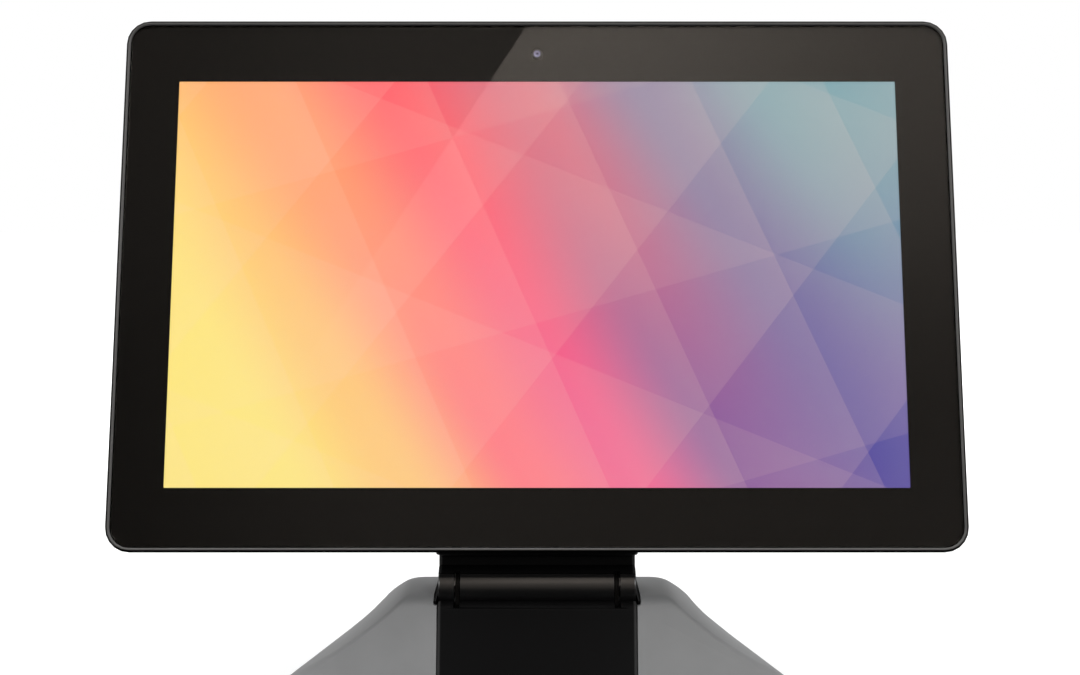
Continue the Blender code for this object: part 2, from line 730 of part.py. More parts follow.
def make_front_frame(head):
    """The dark metal rim round the glass, with a ledge behind the glass."""
    half_round = LIP_ROUND * (1 - cos(pi / 4))
    bm = bmesh.new()
    add_loft(bm, [
        at_depth(head_outline(LIP_ROUND), LIP_Y),
        at_depth(head_outline(half_round), LIP_Y + half_round),
        at_depth(head_outline(0.0), LIP_Y + LIP_ROUND),
        at_depth(head_outline(0.0), FRAME_BACK),
    ])
    frame = finish("front_frame", bm, BLACK_METAL, head)

    bm = bmesh.new()
    add_loft(bm, [
        at_depth(head_outline(RIM_WIDTH - 2 * LIP_CHAMFER), LIP_Y - LIP_CHAMFER),
        at_depth(head_outline(RIM_WIDTH), LIP_Y + LIP_CHAMFER),
        at_depth(head_outline(RIM_WIDTH), CELL_FRONT),
    ])
    pocket = finish("glass_pocket_cutter", bm, None, head)
    bm = bmesh.new()
    add_along_y(bm, head_outline(FRAME_REAR_WALL), LEDGE_BACK, FRAME_BACK + OVERRUN)
    rear = finish("frame_rear_cutter", bm, None, head)

    bm = bmesh.new()
    add_along_y(bm, screen_outline(BACKLIGHT_MARGIN + GAP), LIP_Y, FRAME_BACK)
    low = CELL_FRONT - OVERRUN
    add_rod(bm, (0.0, CAMERA_Z), "Y", LENS_HOLE_RADIUS, low, LEDGE_BACK + OVERRUN)
    for place in cover_screw_places():
        add_rod(bm, place, "Y", BOSS_HOLE_RADIUS, low, LEDGE_BACK + OVERRUN, SMALL_ROUND_STEPS)
    cut(frame, pocket, rear, finish("frame_window_cutter", bm, None, head))


def make_cover_glass(head):
    inset = RIM_WIDTH + GAP
    bm = bmesh.new()
    add_loft(bm, [
        at_depth(head_outline(inset + GLASS_EDGE), GLASS_FRONT),
        at_depth(head_outline(inset), GLASS_FRONT + GLASS_EDGE),
        at_depth(head_outline(inset), GLASS_BACK),
    ])
    finish("cover_glass", bm, CLEAR_GLASS, head)


def make_glass_border(head):
    """The black print behind the glass, with its window and the lens hole."""
    bm = bmesh.new()
    add_along_y(bm, head_outline(RIM_WIDTH + GAP), BORDER_FRONT, BORDER_BACK)
    border = finish("glass_border", bm, BORDER_INK, head)
    bm = bmesh.new()
    add_along_y(bm, screen_outline(0.0), GLASS_FRONT, CELL_BACK)
    add_rod(bm, (0.0, CAMERA_Z), "Y", LENS_HOLE_RADIUS, GLASS_FRONT, CELL_BACK)
    cut(border, finish("border_window_cutter", bm, None, head))


def make_display_stack(head):
    bm = bmesh.new()
    add_along_y(bm, screen_outline(CELL_MARGIN), CELL_FRONT, CELL_BACK)
    finish("lcd_cell", bm, SCREEN, head)
    bm = bmesh.new()
    add_along_y(bm, screen_outline(BACKLIGHT_MARGIN), BACKLIGHT_FRONT, BACKLIGHT_BACK)
    finish("backlight_unit", bm, STEEL, head)


def make_camera_module(head):
    seat = LEDGE_BACK + GAP
    bm = bmesh.new()
    low = (-CAMERA_STRIP_HALF_WIDTH, seat, CAMERA_Z - CAMERA_STRIP_HALF_HEIGHT)
    high = (CAMERA_STRIP_HALF_WIDTH, seat + CAMERA_STRIP_THICKNESS, CAMERA_Z + CAMERA_STRIP_HALF_HEIGHT)
    add_box(bm, low, high)
    camera = finish("camera_module", bm, BLACK_PLASTIC, head)
    bm = bmesh.new()
    low = (-CAMERA_HALF_WIDTH, seat, CAMERA_Z - CAMERA_HALF_WIDTH)
    add_box(bm, low, (CAMERA_HALF_WIDTH, seat + CAMERA_DEPTH, CAMERA_Z + CAMERA_HALF_WIDTH))
    block = finish("camera_block", bm, None, head)
    tip = GLASS_BACK + GAP
    bm = bmesh.new()
    profile = [(tip, LENS_RADIUS - GLASS_EDGE), (tip + GLASS_EDGE, LENS_RADIUS)]
    add_turned(bm, (0.0, CAMERA_Z), "Y", profile + [(seat + CAMERA_DEPTH / 2, LENS_RADIUS)])
    join(camera, block, finish("camera_lens", bm, None, head))


# Rear cover: a thin edge and the raised housing for the board

COVER_INSET = 0.0010
COVER_EDGE_INSET = 0.0065
COVER_EDGE_STRAIGHT_SHARE = 0.35
COVER_WALL = 0.0020
HUMP_FROM_SIDE = 0.04765
HUMP_ABOVE_EDGE = 0.0110
HUMP_FROM_TOP = 0.0564
HUMP_DEPTH = 0.0345
HUMP_SIDE_SLOPE = 0.0090
HUMP_TOP_SLOPE = 0.0200
HUMP_CORNER = 0.0140
HUMP_EDGE_RADIUS = 0.0060
COUNTERBORE = 0.0024
VENT_FROM_SIDE = 0.0480
VENT_PITCH = 0.0090
VENT_WIDTH = 0.0026
VENT_HEIGHT = 0.0200
VENT_SPACING = 0.0260
VENT_FROM_TOP = 0.0090
GRILLE_COUNT = 4
GRILLE_PITCH = 0.0050
GRILLE_WIDTH = 0.0020
GRILLE_INSET = 0.0030

HUMP_SIDE = HEAD_SIDE - HUMP_FROM_SIDE
HUMP_BOTTOM = HEAD_BOTTOM + HUMP_ABOVE_EDGE
HUMP_TOP = HEAD_TOP - HUMP_FROM_TOP
HUMP_BACK = EDGE_BACK + HUMP_DEPTH
HUMP_FLOOR = HUMP_BOTTOM + COVER_WALL


def hump_ring(y, inset):
    """The raised housing's outline at a depth. Its sides and its top slope in towards the back."""
    share = max(0.0, (y - EDGE_BACK) / HUMP_DEPTH)
    side = HUMP_SIDE - HUMP_SIDE_SLOPE * share - inset
    top = HUMP_TOP - HUMP_TOP_SLOPE * share - inset
    corner = max(HUMP_CORNER - inset, LIP_ROUND)
    return at_depth(rounded_outline(-side, side, HUMP_BOTTOM + inset, top, corner), y)


def hump_rings(start, wall):
    rings = [hump_ring(start, wall)]
    for step in range(ARC_STEPS):
        angle = pi / 2 * step / (ARC_STEPS - 1)
        depth = HUMP_BACK - wall - HUMP_EDGE_RADIUS * (1 - sin(angle))
        rings.append(hump_ring(depth, wall + HUMP_EDGE_RADIUS * (1 - cos(angle))))
    return rings


def cover_rings(start, wall):
    """The thin edge of the rear cover, from its seam with the frame to its flat back."""
    straight = FRAME_BACK + GAP + (EDGE_BACK - FRAME_BACK) * COVER_EDGE_STRAIGHT_SHARE
    back = EDGE_BACK - wall
    rings = [at_depth(head_outline(COVER_INSET + wall), start)]
    for step in range(ARC_STEPS):
        angle = pi / 2 * step / (ARC_STEPS - 1)
        inset = COVER_INSET + wall + COVER_EDGE_INSET * (1 - cos(angle))
        rings.append(at_depth(head_outline(inset), straight + (back - straight) * sin(angle)))
    return rings


def make_rear_cover(head):
    front = FRAME_BACK + GAP
    bm = bmesh.new()
    add_loft(bm, cover_rings(front, 0.0))
    cover = finish("rear_cover", bm, BLACK_PLASTIC, head)
    bm = bmesh.new()
    add_loft(bm, hump_rings(EDGE_BACK - COVER_WALL, 0.0))
    join(cover, finish("cover_hump", bm, None, head))

    bm = bmesh.new()
    add_loft(bm, cover_rings(front - OVERRUN, COVER_WALL))
    edge_hollow = finish("cover_hollow_cutter", bm, None, head)
    bm = bmesh.new()
    add_loft(bm, hump_rings(EDGE_BACK - 2 * COVER_WALL, COVER_WALL))
    cut(cover, edge_hollow, finish("hump_hollow_cutter", bm, None, head))

    posts = bmesh.new()
    holes = bmesh.new()
    counterbores = bmesh.new()
    front = LEDGE_BACK + GAP
    back = EDGE_BACK + OVERRUN
    for place in cover_screw_places():
        add_rod(posts, place, "Y", BOSS_RADIUS, front, EDGE_BACK - COVER_WALL / 2, SMALL_ROUND_STEPS)
        add_rod(holes, place, "Y", BOSS_HOLE_RADIUS, front - OVERRUN, back, SMALL_ROUND_STEPS)
        radius = SCREW_HEAD_RADIUS + GAP
        add_rod(counterbores, place, "Y", radius, EDGE_BACK - COUNTERBORE, back, SMALL_ROUND_STEPS)
    join(cover, finish("cover_post", posts, None, head))
    cut(cover, finish("cover_hole_cutter", holes, None, head))
    cut(cover, finish("cover_counterbore_cutter", counterbores, None, head))
    cut(cover, slot_cutter(head), cover_opening_cutter(head))


def slot_cutter(head):
    """The air vents in the housing's back and the speaker slots beside the housing."""
    bm = bmesh.new()
    reach = HUMP_SIDE - VENT_FROM_SIDE
    count = 2 * int(reach / VENT_PITCH) + 1
    vent_top = HUMP_TOP - HUMP_TOP_SLOPE - VENT_FROM_TOP
    for row in range(2):
        top = vent_top - row * VENT_SPACING
        for step in range(count):
            middle = (step - (count - 1) / 2) * VENT_PITCH
            low = (middle - VENT_WIDTH / 2, HUMP_BACK - OVERRUN, top - VENT_HEIGHT)
            add_box(bm, low, (middle + VENT_WIDTH / 2, HUMP_BACK + OVERRUN, top))
    for side in (-1, 1):
        for step in range(GRILLE_COUNT):
            middle = side * (SPEAKER_RIGHT - GRILLE_PITCH * (step + 1))
            low = (middle - GRILLE_WIDTH / 2, EDGE_BACK - OVERRUN, SPEAKER_BOTTOM + GRILLE_INSET)
            add_box(bm, low, (middle + GRILLE_WIDTH / 2, EDGE_BACK + OVERRUN, SPEAKER_TOP - GRILLE_INSET))
    return finish("vent_cutter", bm, None, head)


def cover_opening_cutter(head):
    """Openings in the housing's lower wall: the hinge arm, the ports and the power button."""
    low_z = HUMP_BOTTOM - OVERRUN
    high_z = HUMP_FLOOR + OVERRUN / 2
    side = ARM_OUTER + ARM_SLOT_ROOM
    bm = bmesh.new()
    front = EDGE_BACK + COVER_WALL / 2
    add_box(bm, (-side, front, low_z), (side, ARM_BACK_AT_SLOT + ARM_SLOT_ROOM, high_z))
    for x, half_width, depth in port_places():
        low = (x - half_width - GAP, BOARD_BACK, low_z)
        add_box(bm, low, (x + half_width + GAP, PORT_FRONT + depth + GAP, high_z))
    add_rod(bm, (BUTTON_X, BUTTON_Y), "Z", BUTTON_RADIUS + GAP, low_z, high_z)
    return finish("cover_opening_cutter", bm, None, head)


def make_cover_screws(head):
    seat = EDGE_BACK - COUNTERBORE + GAP
    for step, place in enumerate(cover_screw_places()):
        make_screw("cover_screw_" + str(step + 1), place, "Y", seat, -1, seat - CELL_FRONT, head)


# Hinge arm: the steel piece that carries the head on the shafts

ARM_THICKNESS = 0.0025
ARM_ROUND_ROOM = 0.0012
ARM_SLOT_ROOM = 0.0012
ARM_FRONT_ROOM = 0.0006
ARM_BACK_REACH = 0.0052
ARM_BACK_AT_SLOT = 0.0030
ARM_OVER_FLANGE = 0.0020
ARM_PLATE_HEIGHT = 0.0560
ARM_PLATE_SINK = 0.0008
ARM_WEB_FOOT = 0.0040
ARM_WEB_REACH = 0.0190
ARM_WEB_SHARE = 0.35
ARM_SCREW_SIDE = 0.0220
ARM_SCREW_INSET = 0.0080
WASHER_THICKNESS = 0.0012
WASHER_RADIUS = 0.0062
SPRING_WASHER_THICKNESS = 0.0008
SHAFT_HEAD_RADIUS = 0.0050
SHAFT_HEAD_LENGTH = 0.0030
NUT_RADIUS = 0.0054
NUT_LENGTH = 0.0040

ARM_RADIUS = BARREL_RADIUS - NECK_WALL - ARM_ROUND_ROOM
ARM_OUTER = BRACKET_FROM_MIDDLE - BRACKET_THICKNESS / 2 - WASHER_THICKNESS - 2 * GAP
ARM_PLATE_BACK = CHASSIS_BACK + GAP + ARM_THICKNESS
ARM_PLATE_BOTTOM = SCREEN_BOTTOM - BACKLIGHT_MARGIN + CHASSIS_THICKNESS + ARM_OVER_FLANGE
ARM_PLATE_TOP = ARM_PLATE_BOTTOM + ARM_PLATE_HEIGHT


def arm_screw_places():
    rows = (ARM_PLATE_BOTTOM + ARM_SCREW_INSET, ARM_PLATE_TOP - ARM_SCREW_INSET)
    return [(x, z) for z in rows for x in (-ARM_SCREW_SIDE, ARM_SCREW_SIDE)]


def arm_ear_outline():
    """The arm's side view: an eye round the shaft, a stem up the neck, and a web on the plate."""
    room = NECK_WALL + ARM_FRONT_ROOM
    stem_y = room - COVE_BEFORE_HINGE
    neck_y = NECK_FRONT + room
    plate_y = ARM_PLATE_BACK - ARM_PLATE_SINK
    web_z = ARM_PLATE_BOTTOM + ARM_PLATE_HEIGHT * ARM_WEB_SHARE
    eye_start = acos(ARM_BACK_REACH / ARM_RADIUS)
    eye_end = acos(stem_y / ARM_RADIUS) - 2 * pi
    return arc((0.0, 0.0), ARM_RADIUS, eye_start, eye_end, 14) + [
        (stem_y, COVE_TOP),
        (-COVE_BEFORE_HINGE - COVE_ROUND, COVE_TOP + room + ARM_FRONT_ROOM),
        (neck_y, NECK_UNDERSIDE + room),
        (neck_y, ARM_PLATE_BOTTOM),
        (plate_y, ARM_PLATE_BOTTOM),
        (plate_y, ARM_PLATE_TOP),
        (ARM_PLATE_BACK + ARM_WEB_FOOT, ARM_PLATE_TOP),
        (ARM_PLATE_BACK + ARM_WEB_REACH, web_z),
        (ARM_BACK_AT_SLOT, HUMP_FLOOR + COVER_WALL),
        (ARM_BACK_AT_SLOT, HUMP_BOTTOM - COVER_WALL),
        (ARM_BACK_REACH, COVE_TOP + room),
    ]


def make_hinge_arm(head):
    bm = bmesh.new()
    front = ARM_PLATE_BACK - ARM_THICKNESS
    add_box(bm, (-ARM_OUTER, front, ARM_PLATE_BOTTOM), (ARM_OUTER, ARM_PLATE_BACK, ARM_PLATE_TOP))
    arm = finish("hinge_arm", bm, STEEL, head)
    for side_name, side in (("left", -1), ("right", 1)):
        bm = bmesh.new()
        add_along_x(bm, arm_ear_outline(), side * (ARM_OUTER - ARM_THICKNESS), side * ARM_OUTER)
        join(arm, finish("arm_ear_" + side_name, bm, None, head))
    bm = bmesh.new()
    reach = ARM_OUTER + OVERRUN
    add_rod(bm, (0.0, 0.0), "X", SHAFT_RADIUS + GAP, -reach, reach, SMALL_ROUND_STEPS)
    back = ARM_PLATE_BACK + OVERRUN
    for place in arm_screw_places():
        add_rod(bm, place, "Y", BOSS_HOLE_RADIUS, front - OVERRUN, back, SMALL_ROUND_STEPS)
    cut(arm, finish("arm_hole_cutter", bm, None, head))


def make_arm_screws(head):
    seat = ARM_PLATE_BACK + GAP
    for step, place in enumerate(arm_screw_places()):
        make_screw("arm_screw_" + str(step + 1), place, "Y", seat, -1, seat - CHASSIS_FRONT, head)


def make_hinge_shafts(head):
    """On each side: a headed shaft through arm and bracket, a friction washer, a spring washer, a nut."""
    for side_name, side in (("left", -1), ("right", 1)):
        head_end = ARM_OUTER - ARM_THICKNESS - GAP
        end = NECK_SIDE - NECK_END_WALL - GAP
        profile = [
            (side * (head_end - SHAFT_HEAD_LENGTH), SHAFT_HEAD_RADIUS),
            (side * head_end, SHAFT_HEAD_RADIUS),
            (side * head_end, SHAFT_RADIUS),
            (side * end, SHAFT_RADIUS),
        ]
        bm = bmesh.new()
        add_turned(bm, (0.0, 0.0), "X", profile, SMALL_ROUND_STEPS)
        finish("hinge_shaft_" + side_name, bm, STEEL, head)

        bore = SHAFT_RADIUS + GAP
        start = ARM_OUTER + GAP
        bm = bmesh.new()
        ends = (side * start, side * (start + WASHER_THICKNESS))
        add_washer(bm, (0.0, 0.0), "X", bore, WASHER_RADIUS, *ends, SMALL_ROUND_STEPS)
        finish("friction_washer_" + side_name, bm, BLACK_PLASTIC, head)

        start = BRACKET_FROM_MIDDLE + BRACKET_THICKNESS / 2 + GAP
        bm = bmesh.new()
        ends = (side * start, side * (start + SPRING_WASHER_THICKNESS))
        add_washer(bm, (0.0, 0.0), "X", bore, WASHER_RADIUS, *ends, SMALL_ROUND_STEPS)
        finish("spring_washer_" + side_name, bm, STEEL, head)

        start += SPRING_WASHER_THICKNESS + GAP
        bm = bmesh.new()
        add_rod(bm, (0.0, 0.0), "X", NUT_RADIUS, side * start, side * (start + NUT_LENGTH), 6)
        nut = finish("shaft_nut_" + side_name, bm, STEEL, head)
        bm = bmesh.new()
        low = side * (start - OVERRUN)
        high = side * (start + NUT_LENGTH + OVERRUN)
        add_rod(bm, (0.0, 0.0), "X", bore, low, high, SMALL_ROUND_STEPS)
        cut(nut, finish("nut_bore_cutter_" + side_name, bm, None, head))


# Neck covers: the black shells round the arm, and the slotted barrel round the hinge

NECK_END_WALL = 0.0012
NECK_END_ROUND = 0.0009
COVE_BEFORE_HINGE = 0.0050
COVE_ROUND = 0.0020
COVE_ABOVE_BARREL = 0.0036
OVERHANG_DROP = 0.0030
OVERHANG_ROUND = 0.0020
NECK_BEHIND_HINGE = 0.0095
NECK_SPLIT_BEHIND_HINGE = 0.0020
FRONT_SEAM = radians(46)
REAR_SEAM = radians(145)
SLOT_START = radians(54)
SLOT_END = radians(-195)
SLOT_OVER_BARREL = 0.0010
COVE_ARC_STEPS = 6
BARREL_ARC_STEPS = 26

NECK_SIDE = NECK_WIDTH / 2
NECK_FRONT = EDGE_BACK + GAP
NECK_TOP = HUMP_BOTTOM - GAP
NECK_UNDERSIDE = HEAD_BOTTOM - OVERHANG_DROP
COVE_TOP = BARREL_RADIUS + COVE_ABOVE_BARREL


def on_barrel(radius, angle):
    """A (Y, Z) point round the hinge axis. The angle is in the room, from level at the front upwards."""
    turned = angle - HEAD_LEAN
    return (-radius * cos(turned), radius * sin(turned))


def barrel_arc(radius, start, end, steps):
    return [on_barrel(radius, start + (end - start) * step / steps) for step in range(steps + 1)]


def seam_corner(side):
    """Where the two seams meet near the axis, moved to one side by half the clearance."""
    middle = (FRONT_SEAM + REAR_SEAM) / 2
    return on_barrel(side * GAP / 2 / sin((REAR_SEAM - FRONT_SEAM) / 2), middle)


def neck_front_line(inset):
    """The neck's front above the barrel: a cove, then the round lower edge of the overhang."""
    cove = (-COVE_BEFORE_HINGE - COVE_ROUND, COVE_TOP - COVE_ROUND)
    lip = (NECK_FRONT + OVERHANG_ROUND, NECK_UNDERSIDE + OVERHANG_ROUND)
    line = arc(cove, COVE_ROUND + inset, 0.0, pi / 2)
    return line + arc(lip, OVERHANG_ROUND - inset, -pi / 2, -pi)


def upper_neck_outline(inset):
    radius = BARREL_RADIUS - inset
    shift = GAP / 2 / BARREL_RADIUS
    cove_angle = HEAD_LEAN + acos((COVE_BEFORE_HINGE - inset) / radius)
    outline = barrel_arc(radius, FRONT_SEAM + shift, cove_angle, COVE_ARC_STEPS)
    outline += neck_front_line(inset)
    outline += [
        (NECK_FRONT + inset, NECK_TOP),
        (NECK_BEHIND_HINGE - inset, NECK_TOP),
        on_barrel(radius, REAR_SEAM - shift),
        seam_corner(1),
    ]
    return outline


def barrel_outline(inset):
    shift = GAP / 2 / BARREL_RADIUS
    radius = BARREL_RADIUS - inset
    outline = barrel_arc(radius, FRONT_SEAM - shift, REAR_SEAM + shift - 2 * pi, BARREL_ARC_STEPS)
    return outline + [seam_corner(-1)]


def neck_rings(outline_at):
    """An outline swept across the neck's width, with its outer edges rounded at both ends."""
    ends = []
    for angle in (pi / 2, pi / 4, 0.0):
        inset = NECK_END_ROUND * (1 - cos(angle))
        ends.append((NECK_SIDE - NECK_END_ROUND * (1 - sin(angle)), outline_at(inset)))
    left = [[(-x, y, z) for y, z in outline] for x, outline in ends]
    right = [[(x, y, z) for y, z in outline] for x, outline in reversed(ends)]
    return left + right


def neck_cavity_cutter(head):
    """The room inside the neck, open at the top, where the arm runs up into the housing."""
    side = NECK_SIDE - NECK_END_WALL
    radius = BARREL_RADIUS - NECK_WALL
    top = NECK_TOP + OVERRUN
    outline = [(NECK_WALL - COVE_BEFORE_HINGE, 0.0)] + neck_front_line(NECK_WALL)
    outline += [
        (NECK_FRONT + NECK_WALL, top),
        (NECK_BEHIND_HINGE - NECK_WALL, top),
        on_barrel(radius, REAR_SEAM),
        (0.0, 0.0),
    ]
    bm = bmesh.new()
    add_along_x(bm, outline, -side, side)
    return finish("neck_cavity_cutter", bm, None, head)


def slot_pie_cutter(head):
    """The two long slots that let the bracket's ears stand still while the barrel turns."""
    outline = barrel_arc(BARREL_RADIUS + SLOT_OVER_BARREL, SLOT_START, SLOT_END, BARREL_ARC_STEPS)
    outline.append((0.0, 0.0))
    bm = bmesh.new()
    for side in (-1, 1):
        middle = side * BRACKET_FROM_MIDDLE
        add_along_x(bm, outline, middle - SLOT_WIDTH / 2, middle + SLOT_WIDTH / 2)
    return finish("barrel_slot_cutter", bm, None, head)


def make_neck_covers(head):
    side = NECK_SIDE - NECK_END_WALL
    bm = bmesh.new()
    add_rod(bm, (0.0, 0.0), "X", BARREL_RADIUS - NECK_WALL, -side, side, ROUND_STEPS)
    bore = finish("barrel_bore_cutter", bm, None, head)
    cavity = neck_cavity_cutter(head)
    slots = slot_pie_cutter(head)

    reach = NECK_SIDE + OVERRUN
    low_z = -BARREL_RADIUS
    high_z = NECK_TOP + OVERRUN
    front_end = NECK_SPLIT_BEHIND_HINGE - GAP / 2
    rear_start = NECK_SPLIT_BEHIND_HINGE + GAP / 2
    bm = bmesh.new()
    add_box(bm, (-reach, front_end, low_z), (reach, NECK_BEHIND_HINGE + OVERRUN, high_z))
    rear_half = finish("neck_rear_half_cutter", bm, None, head)
    bm = bmesh.new()
    add_box(bm, (-reach, NECK_FRONT - OVERRUN, low_z), (reach, rear_start, high_z))
    front_half = finish("neck_front_half_cutter", bm, None, head)

    bm = bmesh.new()
    add_loft(bm, neck_rings(upper_neck_outline))
    cut(finish("neck_front_cover", bm, BLACK_PLASTIC, head), bore, cavity, slots, rear_half)
    bm = bmesh.new()
    add_loft(bm, neck_rings(upper_neck_outline))
    cut(finish("neck_rear_cover", bm, BLACK_PLASTIC, head), bore, cavity, front_half)
    bm = bmesh.new()
    add_loft(bm, neck_rings(barrel_outline))
    cut(finish("barrel_cover", bm, BLACK_PLASTIC, head), bore, slots)


# Inside the housing: the chassis, the board and what stands on it

CHASSIS_FLANGE = 0.0040
STANDOFF_HEIGHT = 0.0098
STANDOFF_RADIUS = 0.0030
STANDOFF_FROM_EDGE = 0.0060
STANDOFF_ABOVE_CHASSIS = 0.0090
BOARD_THICKNESS = 0.0016
BOARD_ROOM = 0.0090
BOARD_ABOVE_FLOOR = 0.0020
BOARD_BELOW_TOP = 0.0250
BOARD_NOTCH_ROOM = 0.00602
BOARD_NOTCH_ABOVE_ARM = 0.0080
SINK_WIDTH = 0.0760
SINK_FROM_DRIVE = 0.0150
SINK_HEIGHT = 0.0580
SINK_BELOW_TOP = 0.0120
SINK_DEPTH = 0.0220
SINK_BASE = 0.0040
FIN_COUNT = 9
FIN_THICKNESS = 0.0016
DRIVE_WIDTH = 0.0700
DRIVE_HEIGHT = 0.1000
DRIVE_THICKNESS = 0.0070
DRIVE_FROM_SIDE = 0.0070
DRIVE_BELOW_TOP = 0.0100
DRIVE_EDGE = 0.0010
SPEAKER_FROM_SIDE = 0.01765
SPEAKER_WIDTH = 0.0480
SPEAKER_DEPTH = 0.0090
SPEAKER_ABOVE_EDGE = 0.0085
SPEAKER_BELOW_CHASSIS = 0.0015
SPEAKER_EDGE = 0.0010

CHASSIS_BOTTOM = SCREEN_BOTTOM - BACKLIGHT_MARGIN
BOARD_FRONT = CHASSIS_BACK + STANDOFF_HEIGHT + GAP
BOARD_BACK = BOARD_FRONT + BOARD_THICKNESS
BOARD_SIDE = HUMP_SIDE - HUMP_SIDE_SLOPE - COVER_WALL - BOARD_ROOM
BOARD_BOTTOM = HUMP_FLOOR + BOARD_ABOVE_FLOOR
BOARD_TOP = HUMP_TOP - BOARD_BELOW_TOP
DRIVE_RIGHT = BOARD_SIDE - DRIVE_FROM_SIDE
SPEAKER_RIGHT = HEAD_SIDE - SPEAKER_FROM_SIDE
SPEAKER_BOTTOM = HEAD_BOTTOM + SPEAKER_ABOVE_EDGE
SPEAKER_TOP = CHASSIS_BOTTOM - SPEAKER_BELOW_CHASSIS


def make_chassis_plate(head):
    """A steel tray behind the backlight, with the standoffs for the board."""
    flange_back = CHASSIS_BACK + CHASSIS_FLANGE
    bm = bmesh.new()
    add_along_y(bm, screen_outline(BACKLIGHT_MARGIN), CHASSIS_FRONT, flange_back)
    chassis = finish("chassis_plate", bm, STEEL, head)
    bm = bmesh.new()
    inner = screen_outline(BACKLIGHT_MARGIN - CHASSIS_THICKNESS)
    add_along_y(bm, inner, CHASSIS_BACK, flange_back + OVERRUN)
    cut(chassis, finish("chassis_tray_cutter", bm, None, head))

    side = BOARD_SIDE - STANDOFF_FROM_EDGE
    start = CHASSIS_BACK - CHASSIS_THICKNESS / 2
    bm = bmesh.new()
    for z in (CHASSIS_BOTTOM + STANDOFF_ABOVE_CHASSIS, BOARD_TOP - STANDOFF_FROM_EDGE):
        for x in (-side, side):
            end = CHASSIS_BACK + STANDOFF_HEIGHT
            add_rod(bm, (x, z), "Y", STANDOFF_RADIUS, start, end, SMALL_ROUND_STEPS)
    join(chassis, finish("chassis_standoffs", bm, None, head))
    bm = bmesh.new()
    low = CHASSIS_FRONT - OVERRUN
    for place in arm_screw_places():
        add_rod(bm, place, "Y", BOSS_HOLE_RADIUS, low, CHASSIS_BACK + OVERRUN, SMALL_ROUND_STEPS)
    cut(chassis, finish("chassis_hole_cutter", bm, None, head))


def make_main_board(head):
    bm = bmesh.new()
    add_box(bm, (-BOARD_SIDE, BOARD_FRONT, BOARD_BOTTOM), (BOARD_SIDE, BOARD_BACK, BOARD_TOP))
    board = finish("main_board", bm, BOARD_GREEN, head)
    bm = bmesh.new()
    side = ARM_OUTER + BOARD_NOTCH_ROOM
    high = (side, BOARD_BACK + OVERRUN, ARM_PLATE_TOP + BOARD_NOTCH_ABOVE_ARM)
    add_box(bm, (-side, BOARD_FRONT - OVERRUN, BOARD_BOTTOM - OVERRUN), high)
    cut(board, finish("board_notch_cutter", bm, None, head))


def make_heat_sink(head):
    front = BOARD_BACK + GAP
    back = front + SINK_DEPTH
    right = DRIVE_RIGHT - DRIVE_WIDTH - SINK_FROM_DRIVE
    left = right - SINK_WIDTH
    top = BOARD_TOP - SINK_BELOW_TOP
    bottom = top - SINK_HEIGHT
    bm = bmesh.new()
    add_box(bm, (left, front, bottom), (right, back, top))
    sink = finish("heat_sink", bm, ALUMINIUM, head)
    pitch = (SINK_WIDTH - FIN_THICKNESS) / (FIN_COUNT - 1)
    bm = bmesh.new()
    for step in range(FIN_COUNT - 1):
        start = left + FIN_THICKNESS + step * pitch
        high = (start + pitch - FIN_THICKNESS, back + OVERRUN, top + OVERRUN)
        add_box(bm, (start, front + SINK_BASE, bottom - OVERRUN), high)
    cut(sink, finish("fin_gap_cutter", bm, None, head))


def make_storage_drive(head):
    front = BOARD_BACK + GAP
    top = BOARD_TOP - DRIVE_BELOW_TOP
    low = (DRIVE_RIGHT - DRIVE_WIDTH, front, top - DRIVE_HEIGHT)
    bm = bmesh.new()
    add_box(bm, low, (DRIVE_RIGHT, front + DRIVE_THICKNESS, top))
    soften(finish("storage_drive", bm, ALUMINIUM, head), DRIVE_EDGE)


def make_speakers(head):
    back = EDGE_BACK - COVER_WALL - GAP
    for side_name, side in (("left", -1), ("right", 1)):
        outer = side * SPEAKER_RIGHT
        inner = side * (SPEAKER_RIGHT - SPEAKER_WIDTH)
        low = (min(inner, outer), back - SPEAKER_DEPTH, SPEAKER_BOTTOM)
        bm = bmesh.new()
        add_box(bm, low, (max(inner, outer), back, SPEAKER_TOP))
        soften(finish("speaker_" + side_name, bm, BLACK_PLASTIC, head), SPEAKER_EDGE)


# Sockets on the board's lower edge, and the power button beside them

PORT_HEIGHT = 0.0140
USB_WIDTH = 0.0140
USB_DEPTH = 0.0156
USB_SOCKET_WIDTH = 0.0122
USB_SOCKET_DEPTH = 0.0052
USB_TONGUE_WIDTH = 0.0104
USB_TONGUE_DEPTH = 0.0018
USB_TONGUE_SINK = 0.0020
USB_ROW_SHARES = (0.27, 0.73)
LAN_WIDTH = 0.0160
LAN_DEPTH = 0.0135
LAN_SOCKET_WIDTH = 0.0118
LAN_SOCKET_DEPTH = 0.0086
DC_WIDTH = 0.0100
DC_DEPTH = 0.0110
DC_SOCKET_RADIUS = 0.0032
DC_PIN_RADIUS = 0.0010
SOCKET_HEIGHT = 0.0112
BUTTON_BEHIND_BOARD = 0.0074
BUTTON_RADIUS = 0.0050
BUTTON_EDGE = 0.0006
BUTTON_PROUD = 0.0010
BUTTON_FLANGE_RADIUS = 0.0062
BUTTON_FLANGE_THICKNESS = 0.0015
BUTTON_STEM_RADIUS = 0.0020
BUTTON_STEM_LENGTH = 0.0017
BUTTON_TRAVEL = 0.0010
SWITCH_HALF_WIDTH = 0.0036
SWITCH_HEIGHT = 0.0050

# The room left beside the sockets, shared out from the board's side inwards
USB_A_ROOM_SHARE = 0.114
USB_B_ROOM_SHARE = 0.136
LAN_ROOM_SHARE = 0.205
DC_PLACE_SHARE = 0.660
BUTTON_PLACE_SHARE = 0.284

